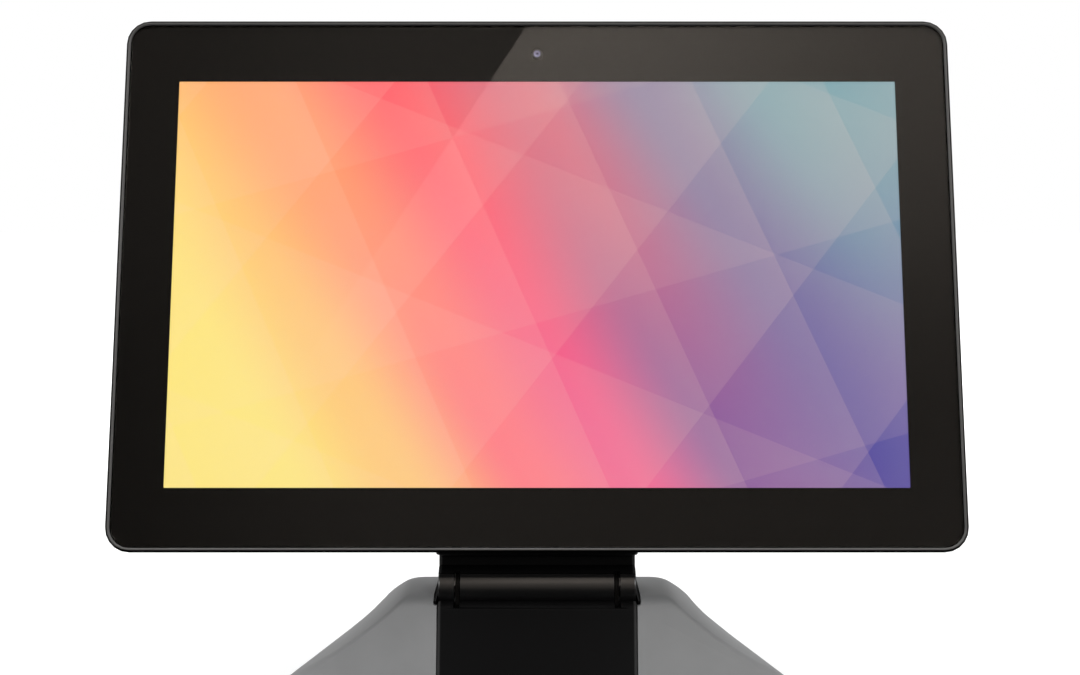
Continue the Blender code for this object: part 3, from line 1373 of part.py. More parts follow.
PORT_FRONT = BOARD_BACK + GAP
PORT_BOTTOM = HUMP_BOTTOM + GAP
EDGE_LENGTH = BOARD_SIDE - ARM_OUTER - BOARD_NOTCH_ROOM
PORT_ROOM = EDGE_LENGTH - 2 * USB_WIDTH - LAN_WIDTH
USB_A_X = PORT_ROOM * USB_A_ROOM_SHARE + USB_WIDTH / 2 - BOARD_SIDE
USB_B_X = USB_A_X + PORT_ROOM * USB_B_ROOM_SHARE + USB_WIDTH
LAN_X = USB_B_X + PORT_ROOM * LAN_ROOM_SHARE + (USB_WIDTH + LAN_WIDTH) / 2
DC_X = BOARD_SIDE - EDGE_LENGTH * DC_PLACE_SHARE
BUTTON_X = BOARD_SIDE - EDGE_LENGTH * BUTTON_PLACE_SHARE
BUTTON_Y = BOARD_BACK + BUTTON_BEHIND_BOARD


def port_places():
    """Each socket block's middle, its half width and its depth."""
    usb = (USB_WIDTH / 2, USB_DEPTH)
    lan = (LAN_X, LAN_WIDTH / 2, LAN_DEPTH)
    return [(USB_A_X, *usb), (USB_B_X, *usb), lan, (DC_X, DC_WIDTH / 2, DC_DEPTH)]


def port_block(name, x, half_width, depth, look, head):
    bm = bmesh.new()
    high = (x + half_width, PORT_FRONT + depth, PORT_BOTTOM + PORT_HEIGHT)
    add_box(bm, (x - half_width, PORT_FRONT, PORT_BOTTOM), high)
    return finish(name, bm, look, head)


def make_usb_port(name, x, head):
    """A block with two sockets, one behind the other, each with its tongue."""
    port = port_block(name, x, USB_WIDTH / 2, USB_DEPTH, STEEL, head)
    sockets = bmesh.new()
    tongues = bmesh.new()
    top = PORT_BOTTOM + SOCKET_HEIGHT
    for share in USB_ROW_SHARES:
        middle = PORT_FRONT + USB_DEPTH * share
        low = (x - USB_SOCKET_WIDTH / 2, middle - USB_SOCKET_DEPTH / 2, PORT_BOTTOM - OVERRUN)
        add_box(sockets, low, (x + USB_SOCKET_WIDTH / 2, middle + USB_SOCKET_DEPTH / 2, top))
        low = (x - USB_TONGUE_WIDTH / 2, middle - USB_TONGUE_DEPTH / 2, PORT_BOTTOM + USB_TONGUE_SINK)
        high = (x + USB_TONGUE_WIDTH / 2, middle + USB_TONGUE_DEPTH / 2, top + USB_TONGUE_SINK / 2)
        add_box(tongues, low, high)
    cut(port, finish(name + "_cutter", sockets, None, head))
    join(port, finish(name + "_tongues", tongues, None, head))


def make_ports(head):
    make_usb_port("usb_port_a", USB_A_X, head)
    make_usb_port("usb_port_b", USB_B_X, head)

    lan = port_block("lan_port", LAN_X, LAN_WIDTH / 2, LAN_DEPTH, BLACK_PLASTIC, head)
    middle = PORT_FRONT + LAN_DEPTH / 2
    bm = bmesh.new()
    low = (LAN_X - LAN_SOCKET_WIDTH / 2, middle - LAN_SOCKET_DEPTH / 2, PORT_BOTTOM - OVERRUN)
    high = (LAN_X + LAN_SOCKET_WIDTH / 2, middle + LAN_SOCKET_DEPTH / 2, PORT_BOTTOM + SOCKET_HEIGHT)
    add_box(bm, low, high)
    cut(lan, finish("lan_socket_cutter", bm, None, head))

    jack = port_block("dc_jack", DC_X, DC_WIDTH / 2, DC_DEPTH, BLACK_PLASTIC, head)
    place = (DC_X, PORT_FRONT + DC_DEPTH / 2)
    top = PORT_BOTTOM + SOCKET_HEIGHT
    bm = bmesh.new()
    add_rod(bm, place, "Z", DC_SOCKET_RADIUS, PORT_BOTTOM - OVERRUN, top, SMALL_ROUND_STEPS)
    cut(jack, finish("dc_socket_cutter", bm, None, head))
    bm = bmesh.new()
    start = PORT_BOTTOM + USB_TONGUE_SINK
    add_rod(bm, place, "Z", DC_PIN_RADIUS, start, top + USB_TONGUE_SINK / 2, SMALL_ROUND_STEPS)
    join(jack, finish("dc_pin", bm, None, head))


def make_power_button(head):
    """A round button in the housing's lower wall. A flange keeps it in, and a switch stands above it."""
    press = empty("press_axis", (BUTTON_X, BUTTON_Y, HUMP_BOTTOM), parent=head)
    seat = COVER_WALL + GAP
    flange_top = seat + BUTTON_FLANGE_THICKNESS
    stem_top = flange_top + BUTTON_STEM_LENGTH
    profile = [
        (-BUTTON_PROUD, BUTTON_RADIUS - BUTTON_EDGE),
        (BUTTON_EDGE - BUTTON_PROUD, BUTTON_RADIUS),
        (seat, BUTTON_RADIUS),
        (seat, BUTTON_FLANGE_RADIUS),
        (flange_top, BUTTON_FLANGE_RADIUS),
        (flange_top, BUTTON_STEM_RADIUS),
        (stem_top, BUTTON_STEM_RADIUS),
    ]
    bm = bmesh.new()
    add_turned(bm, (0.0, 0.0), "Z", profile)
    finish("power_button", bm, BLACK_PLASTIC, press)

    bottom = HUMP_BOTTOM + stem_top + BUTTON_TRAVEL + GAP
    low = (BUTTON_X - SWITCH_HALF_WIDTH, BOARD_BACK + GAP, bottom)
    high = (BUTTON_X + SWITCH_HALF_WIDTH, BUTTON_Y + SWITCH_HALF_WIDTH, bottom + SWITCH_HEIGHT)
    bm = bmesh.new()
    add_box(bm, low, high)
    finish("button_switch", bm, BLACK_PLASTIC, head)


def make_stand():
    make_stand_shell()
    make_front_panel()
    make_hinge_well()
    make_base_plate()
    make_feet()
    make_base_screws()
    make_stand_bracket()
    make_bracket_bolts()


def make_head(head):
    make_front_frame(head)
    make_cover_glass(head)
    make_glass_border(head)
    make_display_stack(head)
    make_camera_module(head)
    make_chassis_plate(head)
    make_main_board(head)
    make_heat_sink(head)
    make_storage_drive(head)
    make_speakers(head)
    make_ports(head)
    make_power_button(head)
    make_rear_cover(head)
    make_cover_screws(head)
    make_hinge_arm(head)
    make_arm_screws(head)
    make_hinge_shafts(head)
    make_neck_covers(head)


clear_scene()
make_stand()
make_head(empty("tilt_axis", (0.0, HINGE_Y, HINGE_Z), -HEAD_LEAN))
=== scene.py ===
# %% [markdown]
# # A shop counter terminal
# The real object is a touch display in a thin dark metal rim, carried by a black barrel hinge on a
# flared grey moulding. The solids are already made to size, so this file gives them their looks:
# rounded edges, smooth curves, the lit picture behind the glass, and a material for every finish.

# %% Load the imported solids
import json
from math import cos, degrees, pi, radians, sin

import bmesh
import bpy
from mathutils import Matrix, Vector


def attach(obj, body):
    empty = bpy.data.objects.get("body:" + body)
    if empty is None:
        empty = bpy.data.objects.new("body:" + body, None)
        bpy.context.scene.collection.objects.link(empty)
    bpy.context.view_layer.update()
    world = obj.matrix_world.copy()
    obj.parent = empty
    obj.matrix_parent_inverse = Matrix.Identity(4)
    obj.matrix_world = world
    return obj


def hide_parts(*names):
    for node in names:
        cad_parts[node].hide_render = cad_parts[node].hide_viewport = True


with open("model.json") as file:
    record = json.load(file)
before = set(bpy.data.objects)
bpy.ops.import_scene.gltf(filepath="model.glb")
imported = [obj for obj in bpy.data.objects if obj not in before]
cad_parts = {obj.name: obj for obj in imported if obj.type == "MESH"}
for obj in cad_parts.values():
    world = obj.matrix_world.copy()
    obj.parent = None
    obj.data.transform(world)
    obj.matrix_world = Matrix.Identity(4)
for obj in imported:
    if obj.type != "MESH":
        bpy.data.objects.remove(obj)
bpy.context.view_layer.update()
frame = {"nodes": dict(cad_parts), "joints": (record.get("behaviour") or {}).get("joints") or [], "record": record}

nodes = frame["nodes"]
body_of_node = {
    node: body
    for body, members in frame["record"]["behaviour"]["bodies"].items()
    for node in members
}
slot_of_node = {part["node"]: part["material_slot"] for part in frame["record"]["subparts"]}

# %% [markdown]
# The camera comes first, because every later choice is judged through it. A product like this is
# photographed from a little above the middle of the screen with a fairly short lens, so the base
# looks wide and the screen narrows slightly towards its top. The lens is 35 mm on a 36 mm sensor,
# half a metre away, and looks 6 degrees down.

# %% Camera
CAMERA_PLACE = (0.0014, -0.5305, 0.2384)
LOOKS_DOWN = 6
camera_data = bpy.data.cameras.new("front_camera")
camera_data.lens = 35.0
camera_data.sensor_width = 36.0
camera_data.sensor_fit = "HORIZONTAL"
camera_data.clip_start = 0.01
camera = bpy.data.objects.new("front_camera", camera_data)
bpy.context.scene.collection.objects.link(camera)
camera.location = CAMERA_PLACE
camera.rotation_euler = (radians(90 - LOOKS_DOWN), 0.0, 0.0)
bpy.context.scene.camera = camera
bpy.context.scene.view_settings.view_transform = "Standard"
print("camera at", tuple(round(value, 4) for value in camera.location))

# %% [markdown]
# The screen leans back by 12.4 degrees about the hinge. Many details lie on the screen's plane, so
# it helps to have one matrix that takes a point from the screen's own upright space, with the
# hinge axis at zero, to its place in the room.

# %% The screen's own space
HEAD_LEAN = radians(12.4)
hinge = Vector(frame["joints"][0]["pos_m"])
from_head = Matrix.Translation(hinge) @ Matrix.Rotation(-HEAD_LEAN, 4, "X")
to_head = from_head.inverted()


def box_in(to_own_space, node):
    """A solid's lowest and highest corners in a space of its own."""
    points = [to_own_space @ vertex.co for vertex in nodes[node].data.vertices]
    low = Vector([min(point[axis] for point in points) for axis in range(3)])
    high = Vector([max(point[axis] for point in points) for axis in range(3)])
    return low, high


def in_mm(corner):
    return tuple(round(value * 1000, 1) for value in corner)


print("glass, mm:", [in_mm(corner) for corner in box_in(to_head, "cover_glass")])

# %% [markdown]
# Moulded plastic is never quite even: the tool's spark-eroded texture gives a fine grain, and the
# surface has faint cloudy changes in gloss. Most finishes here share that, so it is one node group
# with a size and an amount. It puts out a height for a Bump node and a mask for colour and gloss.

# %% A shared grain
grain = bpy.data.node_groups.new("moulded_grain", "ShaderNodeTree")
for name, default in (("Grains per metre", 3000.0), ("Clouds per metre", 40.0)):
    socket = grain.interface.new_socket(name, in_out="INPUT", socket_type="NodeSocketFloat")
    socket.default_value = default
for name in ("Height", "Clouds"):
    grain.interface.new_socket(name, in_out="OUTPUT", socket_type="NodeSocketFloat")
grain_in = grain.nodes.new("NodeGroupInput")
grain_out = grain.nodes.new("NodeGroupOutput")
place = grain.nodes.new("ShaderNodeTexCoord")
fine = grain.nodes.new("ShaderNodeTexNoise")
fine.inputs["Detail"].default_value = 2.0
clouds = grain.nodes.new("ShaderNodeTexNoise")
clouds.inputs["Detail"].default_value = 3.0
for texture, rate, result in ((fine, "Grains per metre", "Height"), (clouds, "Clouds per metre", "Clouds")):
    grain.links.new(place.outputs["Object"], texture.inputs["Vector"])
    grain.links.new(grain_in.outputs[rate], texture.inputs["Scale"])
    grain.links.new(texture.outputs["Fac"], grain_out.inputs[result])
print("group:", grain.name)

# %% [markdown]
# A finish is that group in a Principled shader. The clouds shift the colour by a tenth and the
# roughness by a twentieth either way, and the height goes through a Bump node as a real depth in
# metres. The values that are the same all over the surface sit on the shader's own sockets.

# %% A finish with that grain
COLOUR_SPREAD = 0.10
GLOSS_SPREAD = 0.05
BUMP_STRENGTH = 0.6


def finish(name, colour, roughness, metallic=0.0, grains=3000.0, depth=0.00002, mirror=0.5, tint=1.0):
    """A Principled material whose colour and gloss drift a little and whose surface has a grain."""
    material = bpy.data.materials.new(name)
    material.use_nodes = True
    tree = material.node_tree
    shader = tree.nodes["Principled BSDF"]
    shader.inputs["Metallic"].default_value = metallic
    shader.inputs["Specular IOR Level"].default_value = mirror
    shader.inputs["Specular Tint"].default_value = (tint, tint, tint, 1.0)
    texture = tree.nodes.new("ShaderNodeGroup")
    texture.node_tree = grain
    texture.inputs["Grains per metre"].default_value = grains

    shade = tree.nodes.new("ShaderNodeMix")
    shade.data_type = "RGBA"
    shade.inputs["A"].default_value = (*[channel * (1 - COLOUR_SPREAD) for channel in colour], 1.0)
    shade.inputs["B"].default_value = (*[channel * (1 + COLOUR_SPREAD) for channel in colour], 1.0)
    tree.links.new(texture.outputs["Clouds"], shade.inputs["Factor"])
    tree.links.new(shade.outputs["Result"], shader.inputs["Base Color"])

    gloss = tree.nodes.new("ShaderNodeMapRange")
    gloss.inputs["To Min"].default_value = roughness - GLOSS_SPREAD
    gloss.inputs["To Max"].default_value = roughness + GLOSS_SPREAD
    tree.links.new(texture.outputs["Clouds"], gloss.inputs["Value"])
    tree.links.new(gloss.outputs["Result"], shader.inputs["Roughness"])

    bump = tree.nodes.new("ShaderNodeBump")
    bump.inputs["Strength"].default_value = BUMP_STRENGTH
    bump.inputs["Distance"].default_value = depth
    tree.links.new(texture.outputs["Height"], bump.inputs["Height"])
    tree.links.new(bump.outputs["Normal"], shader.inputs["Normal"])
    return material


looks = {
    "grey_plastic": finish(
        "stand_grey", (0.240, 0.242, 0.244), 0.56, grains=2600.0, depth=0.00003, mirror=0.2,
    ),
    "black_plastic": finish("satin_black", (0.0040, 0.0040, 0.0043), 0.42, depth=0.00003, mirror=0.7),
    "black_metal": finish("black_anodised", (0.014, 0.0136, 0.0132), 0.36, 1.0, depth=0.00001, tint=0.1),
    "black_steel": finish("bracket_paint", (0.003, 0.003, 0.003), 0.55, grains=1500.0, mirror=0.2),
    "steel": finish("screw_steel", (0.50, 0.50, 0.51), 0.30, 1.0, grains=4000.0),
    "sheet_steel": finish("zinc_sheet", (0.52, 0.53, 0.54), 0.38, 1.0, grains=900.0),
    "light_alloy": finish("light_alloy", (0.68, 0.69, 0.70), 0.36, 1.0, grains=2500.0),
    "rubber": finish("foot_rubber", (0.016, 0.016, 0.016), 0.80, grains=2000.0, depth=0.00005),
    "border_ink": finish("border_ink", (0.0022, 0.0020, 0.0018), 0.45, depth=0.0, mirror=0.0),
    "backlight": finish("light_guide", (0.60, 0.60, 0.60), 0.50, grains=1500.0),
    "board": finish("board_lacquer", (0.02, 0.11, 0.05), 0.42, grains=1800.0),
}
print("finishes:", len(looks))

# %% [markdown]
# The cover glass is clear, hard and very smooth, so nearly all that it shows is the print and the
# picture behind it, with the room mirrored faintly on top. A plain transmissive shader does this. A
# touch display is coated so that it mirrors about a third of what bare glass would, and a lower index
# of refraction stands for that coating.

# %% Cover glass
glass = bpy.data.materials.new("cover_glass")
glass.use_nodes = True
glass_shader = glass.node_tree.nodes["Principled BSDF"]
glass_shader.inputs["Base Color"].default_value = (0.97, 0.985, 0.98, 1.0)
glass_shader.inputs["Roughness"].default_value = 0.01
glass_shader.inputs["IOR"].default_value = 1.25
glass_shader.inputs["Transmission Weight"].default_value = 1.0
looks["clear_glass"] = glass
print("glass IOR:", glass_shader.inputs["IOR"].default_value)

# %% [markdown]
# The display shows a colourful picture. This one is a plain design of its own: a wash from yellow
# through coral to violet blue, crossed by straight translucent ribbons. Each ribbon is a saw wave
# along one direction, bright at one edge and fading to the next, so a Dot Product, a Fraction and
# a weight are all that one set of ribbons needs. That makes it a node group too.

# %% A set of ribbons
ribbons = bpy.data.node_groups.new("ribbons", "ShaderNodeTree")
for name, kind in (
    ("Place", "NodeSocketVector"),
    ("Direction", "NodeSocketVector"),
    ("Start", "NodeSocketFloat"),
    ("Weight", "NodeSocketFloat"),
):
    ribbons.interface.new_socket(name, in_out="INPUT", socket_type=kind)
ribbons.interface.new_socket("Light", in_out="OUTPUT", socket_type="NodeSocketFloat")
ribbons_in = ribbons.nodes.new("NodeGroupInput")
ribbons_out = ribbons.nodes.new("NodeGroupOutput")
along = ribbons.nodes.new("ShaderNodeVectorMath")
along.operation = "DOT_PRODUCT"
shifted = ribbons.nodes.new("ShaderNodeMath")
shifted.operation = "ADD"
saw = ribbons.nodes.new("ShaderNodeMath")
saw.operation = "FRACT"
weighed = ribbons.nodes.new("ShaderNodeMath")
weighed.operation = "MULTIPLY"
ribbons.links.new(ribbons_in.outputs["Place"], along.inputs[0])
ribbons.links.new(ribbons_in.outputs["Direction"], along.inputs[1])
ribbons.links.new(along.outputs["Value"], shifted.inputs[0])
ribbons.links.new(ribbons_in.outputs["Start"], shifted.inputs[1])
ribbons.links.new(shifted.outputs[0], saw.inputs[0])
ribbons.links.new(saw.outputs[0], weighed.inputs[0])
ribbons.links.new(ribbons_in.outputs["Weight"], weighed.inputs[1])
ribbons.links.new(weighed.outputs[0], ribbons_out.inputs["Light"])
print("group:", ribbons.name)

# %% [markdown]
# The picture needs coordinates of its own: level with the screen and zero at its middle. A Mapping
# node makes them from Object coordinates. It turns by the screen's lean, and its shift takes the
# middle of the lit cell to zero.

# %% The picture's coordinates
picture = bpy.data.materials.new("display_picture")
picture.use_nodes = True
tree = picture.node_tree
shader = tree.nodes["Principled BSDF"]
low, high = box_in(to_head, "lcd_cell")
centre = (low + high) / 2
turn = Matrix.Rotation(HEAD_LEAN, 4, "X")
shift = -(turn @ (from_head @ centre))
place = tree.nodes.new("ShaderNodeTexCoord")
mapping = tree.nodes.new("ShaderNodeMapping")
mapping.inputs["Rotation"].default_value = (HEAD_LEAN, 0.0, 0.0)
mapping.inputs["Location"].default_value = shift
tree.links.new(place.outputs["Object"], mapping.inputs["Vector"])
print("picture centre, mm:", in_mm(centre))

# %% [markdown]
# The wash is two colour ramps along a slanting line, one for the top of the picture and one for its
# foot, and a soft change between them. The colours are written as a screen shows them, from 0 to 255,
# so a small function turns them into the linear values of a shader.

# %% The picture's wash of colour
PICTURE_WIDTH = 0.3442
PICTURE_HEIGHT = 0.1936
WASH_SLANT = 0.35
CHANGE_HALF = 0.09


def linear(red, green, blue):
    """A screen colour from 0 to 255, as the linear values that shaders use."""
    channels = [value / 255 for value in (red, green, blue)]
    return (*[c / 12.92 if c <= 0.04045 else ((c + 0.055) / 1.055) ** 2.4 for c in channels], 1.0)


def wash(name, stops):
    """A colour ramp with soft changes between screen colours."""
    ramp = tree.nodes.new("ShaderNodeValToRGB")
    ramp.name = name
    ramp.color_ramp.interpolation = "EASE"
    elements = ramp.color_ramp.elements
    while len(elements) < len(stops):
        elements.new(0.5)
    for element, (position, colour) in zip(elements, stops):
        element.position = position
        element.color = linear(*colour)
    return ramp


across = tree.nodes.new("ShaderNodeVectorMath")
across.operation = "DOT_PRODUCT"
across.inputs[1].default_value = (1 / PICTURE_WIDTH, 0.0, WASH_SLANT / PICTURE_HEIGHT)
tree.links.new(mapping.outputs["Vector"], across.inputs[0])
middle = tree.nodes.new("ShaderNodeMath")
middle.operation = "ADD"
middle.inputs[1].default_value = 0.5
tree.links.new(across.outputs["Value"], middle.inputs[0])
upper_wash = wash("upper_wash", (
    (0.00, (255, 226, 100)),
    (0.28, (255, 156, 88)),
    (0.46, (255, 54, 78)),
    (0.64, (208, 76, 108)),
    (0.82, (114, 106, 146)),
    (1.00, (98, 150, 162)),
))
lower_wash = wash("lower_wash", (
    (0.00, (255, 232, 120)),
    (0.15, (255, 200, 116)),
    (0.32, (255, 110, 126)),
    (0.46, (240, 80, 140)),
    (0.61, (122, 66, 148)),
    (0.84, (60, 54, 152)),
))
for ramp in (upper_wash, lower_wash):
    tree.links.new(middle.outputs[0], ramp.inputs["Fac"])
height = tree.nodes.new("ShaderNodeSeparateXYZ")
tree.links.new(mapping.outputs["Vector"], height.inputs[0])
rise = tree.nodes.new("ShaderNodeMapRange")
rise.interpolation_type = "SMOOTHSTEP"
rise.inputs["From Min"].default_value = -CHANGE_HALF
rise.inputs["From Max"].default_value = CHANGE_HALF
tree.links.new(height.outputs["Z"], rise.inputs["Value"])
blend = tree.nodes.new("ShaderNodeMix")
blend.data_type = "RGBA"
tree.links.new(rise.outputs["Result"], blend.inputs["Factor"])
tree.links.new(lower_wash.outputs["Color"], blend.inputs["A"])
tree.links.new(upper_wash.outputs["Color"], blend.inputs["B"])
print("wash stops:", len(upper_wash.color_ramp.elements))

# %% [markdown]
# Four sets of ribbons lie over the wash. Each has its own angle in degrees, width in metres, start
# and weight. Their sum is a thin veil of pale rose, so the ribbons stay a little lighter than the wash.

# %% The picture's ribbons
RIBBON_SETS = (
    (24, 0.058, 0.15, 0.55),
    (-38, 0.071, 0.60, 0.50),
    (68, 0.083, 0.35, 0.40),
    (-74, 0.097, 0.80, 0.35),
)
FULL_WEIGHT = sum(weight for angle, pitch, start, weight in RIBBON_SETS)
VEIL_SHARE = 0.26
total = None
for angle, pitch, start, weight in RIBBON_SETS:
    band = tree.nodes.new("ShaderNodeGroup")
    band.node_tree = ribbons
    direction = (cos(radians(angle)) / pitch, 0.0, sin(radians(angle)) / pitch)
    band.inputs["Direction"].default_value = direction
    band.inputs["Start"].default_value = start
    band.inputs["Weight"].default_value = weight
    tree.links.new(mapping.outputs["Vector"], band.inputs["Place"])
    if total is None:
        total = band.outputs["Light"]
        continue
    added = tree.nodes.new("ShaderNodeMath")
    added.operation = "ADD"
    tree.links.new(total, added.inputs[0])
    tree.links.new(band.outputs["Light"], added.inputs[1])
    total = added.outputs[0]
veil = tree.nodes.new("ShaderNodeMapRange")
veil.inputs["From Max"].default_value = FULL_WEIGHT
veil.inputs["To Max"].default_value = VEIL_SHARE
tree.links.new(total, veil.inputs["Value"])
lit = tree.nodes.new("ShaderNodeMix")
lit.data_type = "RGBA"
lit.inputs["B"].default_value = linear(255, 214, 196)
tree.links.new(veil.outputs["Result"], lit.inputs["Factor"])
tree.links.new(blend.outputs["Result"], lit.inputs["A"])
tree.links.new(lit.outputs["Result"], shader.inputs["Emission Color"])
shader.inputs["Emission Strength"].default_value = 1.0
shader.inputs["Base Color"].default_value = (0.01, 0.01, 0.01, 1.0)
shader.inputs["Roughness"].default_value = 0.5
looks["screen"] = picture
print("ribbon sets:", len(RIBBON_SETS))

# %% [markdown]
# Every new piece starts as a bmesh and ends with the same steps: a mesh, its shading, one material
# and a link to the scene. One function takes them up.

# %% A mesh from a bmesh


def made_of(bm, name, look, sharp=None):
    """A linked object of the bmesh. Edges below the angle are shaded smooth, if one is given."""
    mesh = bpy.data.meshes.new(name)
    bm.to_mesh(mesh)
    bm.free()
    if sharp is not None:
        mesh.shade_smooth()
        mesh.set_sharp_from_angle(angle=radians(sharp))
    mesh.materials.append(look)
    piece = bpy.data.objects.new(name, mesh)
    bpy.context.scene.collection.objects.link(piece)
    return piece


# %% [markdown]
# The camera behind the upper border has a coated lens. A coating mirrors violet light and lets the
# rest through, so the lens is a dark pupil in a violet ring, held by a dark stop. All three are thin
# turned pieces on the end of the lens tube, just behind the glass. They are drawn in the screen's own
# space and then taken into the room by the same matrix as everything on the head. A spin numbers its
# points in another order on each run, so they are sorted along a slanting line where no two tie.

# %% Turned pieces
TURN_STEPS = 32
MERGE_DISTANCE = 0.000001
SLANT = Vector((1.0, 0.37, 0.61))


def plain_finish(name, colour, roughness, metallic=0.0, mirror=0.5):
    """A finish for pieces too small to show clouds of their own."""
    return finish(name, colour, roughness, metallic, grains=6000.0, depth=0.000005, mirror=mirror)


def turned(name, profile, place, look, body):
    """Spins a profile of (radius, depth) points round the head's front-to-back axis."""
    bm = bmesh.new()
    line = [bm.verts.new((radius, depth, 0.0)) for radius, depth in profile]
    edges = [bm.edges.new(pair) for pair in zip(line, line[1:])]
    bmesh.ops.spin(
        bm, geom=line + edges, cent=(0.0, 0.0, 0.0), axis=(0.0, 1.0, 0.0),
        angle=2 * pi, steps=TURN_STEPS, use_merge=True,
    )
    bmesh.ops.remove_doubles(bm, verts=bm.verts, dist=MERGE_DISTANCE)
    bmesh.ops.recalc_face_normals(bm, faces=bm.faces)
    bm.verts.sort(key=lambda vert: vert.co.dot(SLANT))
    bm.edges.sort(key=lambda edge: (edge.verts[0].co + edge.verts[1].co).dot(SLANT))
    bm.faces.sort(key=lambda face: face.calc_center_median().dot(SLANT))
    bmesh.ops.transform(bm, matrix=from_head @ Matrix.Translation(place), verts=bm.verts)
    piece = made_of(bm, name, look, sharp=35)
    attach(piece, body)
    return piece


print("turned in steps:", TURN_STEPS)

# %% Coated lens
camera_low, camera_high = box_in(to_head, "camera_module")
lens_place = Vector((0.0, camera_low.y, (camera_low.z + camera_high.z) / 2))
lens_stop = plain_finish("lens_stop", (0.020, 0.018, 0.045), 0.30, mirror=0.15)
lens_coating = plain_finish("lens_coating", (0.22, 0.21, 0.35), 0.30, 0.7)
lens_pupil = plain_finish("lens_pupil", (0.008, 0.008, 0.040), 0.12, mirror=0.05)
turned("lens_ring", (
    (0.00150, 0.00005), (0.00150, -0.00010), (0.00160, -0.00018), (0.00190, -0.00012), (0.00190, 0.00005),
    (0.00150, 0.00005),
), lens_place, lens_stop, "display_head")
turned("lens_dish", (
    (0.00076, 0.00005), (0.00076, -0.00005), (0.00100, -0.00012), (0.00148, -0.00016), (0.00148, 0.00005),
    (0.00076, 0.00005),
), lens_place, lens_coating, "display_head")
turned("lens_eye", (
    (0.0, 0.00004), (0.00072, 0.00004), (0.00070, -0.00004), (0.00035, -0.00008), (0.0, -0.00009),
), lens_place, lens_pupil, "display_head")
print("lens at, mm:", in_mm(lens_place))

# %% [markdown]
# The solids are made of loose flat triangles. For the eye, a moulded or turned piece has smooth
# curves and no perfectly sharp edge, and it is the highlight on the small edge radius that makes it
# look real. So each piece that shows is worked over: a copy is merged, its flat faces are joined,
# its curves are shaded smooth, and a Bevel modifier rounds what is left sharp.

# %% Work over a solid
SOLID_MERGE = 0.000002
FLAT_ANGLE = radians(0.3)
BEVEL_SEGMENTS = 3
BEVEL_ANGLE = radians(35)


def worked(node, edge=0.0):
    """A merged, smooth-shaded copy with rounded edges, which stands for the solid."""
    bm = bmesh.new()
    bm.from_mesh(nodes[node].data)
    bmesh.ops.remove_doubles(bm, verts=bm.verts, dist=SOLID_MERGE)
    bmesh.ops.dissolve_limit(bm, angle_limit=FLAT_ANGLE, verts=bm.verts, edges=bm.edges)
    piece = made_of(bm, node + "_finished", looks[slot_of_node[node]], sharp=30)
    if edge:
        bevel = piece.modifiers.new("edge", "BEVEL")
        bevel.width = edge
        bevel.segments = BEVEL_SEGMENTS
        bevel.limit_method = "ANGLE"
        bevel.angle_limit = BEVEL_ANGLE
        bevel.harden_normals = True
        bevel.use_clamp_overlap = True
    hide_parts(node)
    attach(piece, body_of_node[node])
    return piece


EDGES = {
    "stand_shell": 0.0004,
    "front_panel": 0.0003,
    "hinge_well": 0.0003,
    "barrel_cover": 0.00025,
    "neck_front_cover": 0.00025,
    "neck_rear_cover": 0.00025,
    "front_frame": 0.00015,
    "cover_glass": 0.0,
    "rear_cover": 0.0003,
    "power_button": 0.0003,
}
WITHOUT_BEVEL = ("foot_", "usb_", "lan_", "dc_", "bracket", "base_plate", "stand_bracket")
finished = {node: worked(node, edge) for node, edge in EDGES.items()}
finished.update({node: worked(node) for node in nodes if node.startswith(WITHOUT_BEVEL)})
print("worked over:", len(finished))

# %% [markdown]
# One black plastic isn't like another. The rear cover has a coarse tool texture and looks a little
# grey, the barrel is polished by the hands that tilt the screen, and the well, the panel and the neck
# are matt and mirror almost nothing.

# %% Black mouldings


def matt(name):
    return finish(name, (0.0024, 0.0024, 0.0026), 0.60, grains=2600.0, depth=0.00003, mirror=0.07)


blacks = {
    "rear_cover": finish(
        "cover_black", (0.0060, 0.0060, 0.0064), 0.52, grains=1400.0, depth=0.00006, mirror=0.35,
    ),
    "barrel_cover": finish("barrel_black", (0.0040, 0.0040, 0.0043), 0.31, depth=0.00002, mirror=0.6),
    "hinge_well": matt("matt_black"),
}
for node, black in blacks.items():
    finished[node].data.materials[0] = black
print("black mouldings:", len(blacks))

# %% [markdown]
# The panel down the stand and the neck above it are matt. Along both sides a dull grey line, not quite
# two millimetres wide, is painted into their colour as a painted highlight, where the rounded edges catch
# the light. The line follows the distance from the middle, so the sideways coordinate without its sign is
# all that the mask needs.

# %% The painted highlight along the side edges
# The width of the painted edge highlight, the width at which it is full, and its grey.
EDGE_HIGHLIGHT_WIDTH = 0.0018
FULL_EDGE_HIGHLIGHT = 0.6 * EDGE_HIGHLIGHT_WIDTH
EDGE_HIGHLIGHT_GREY = 0.034


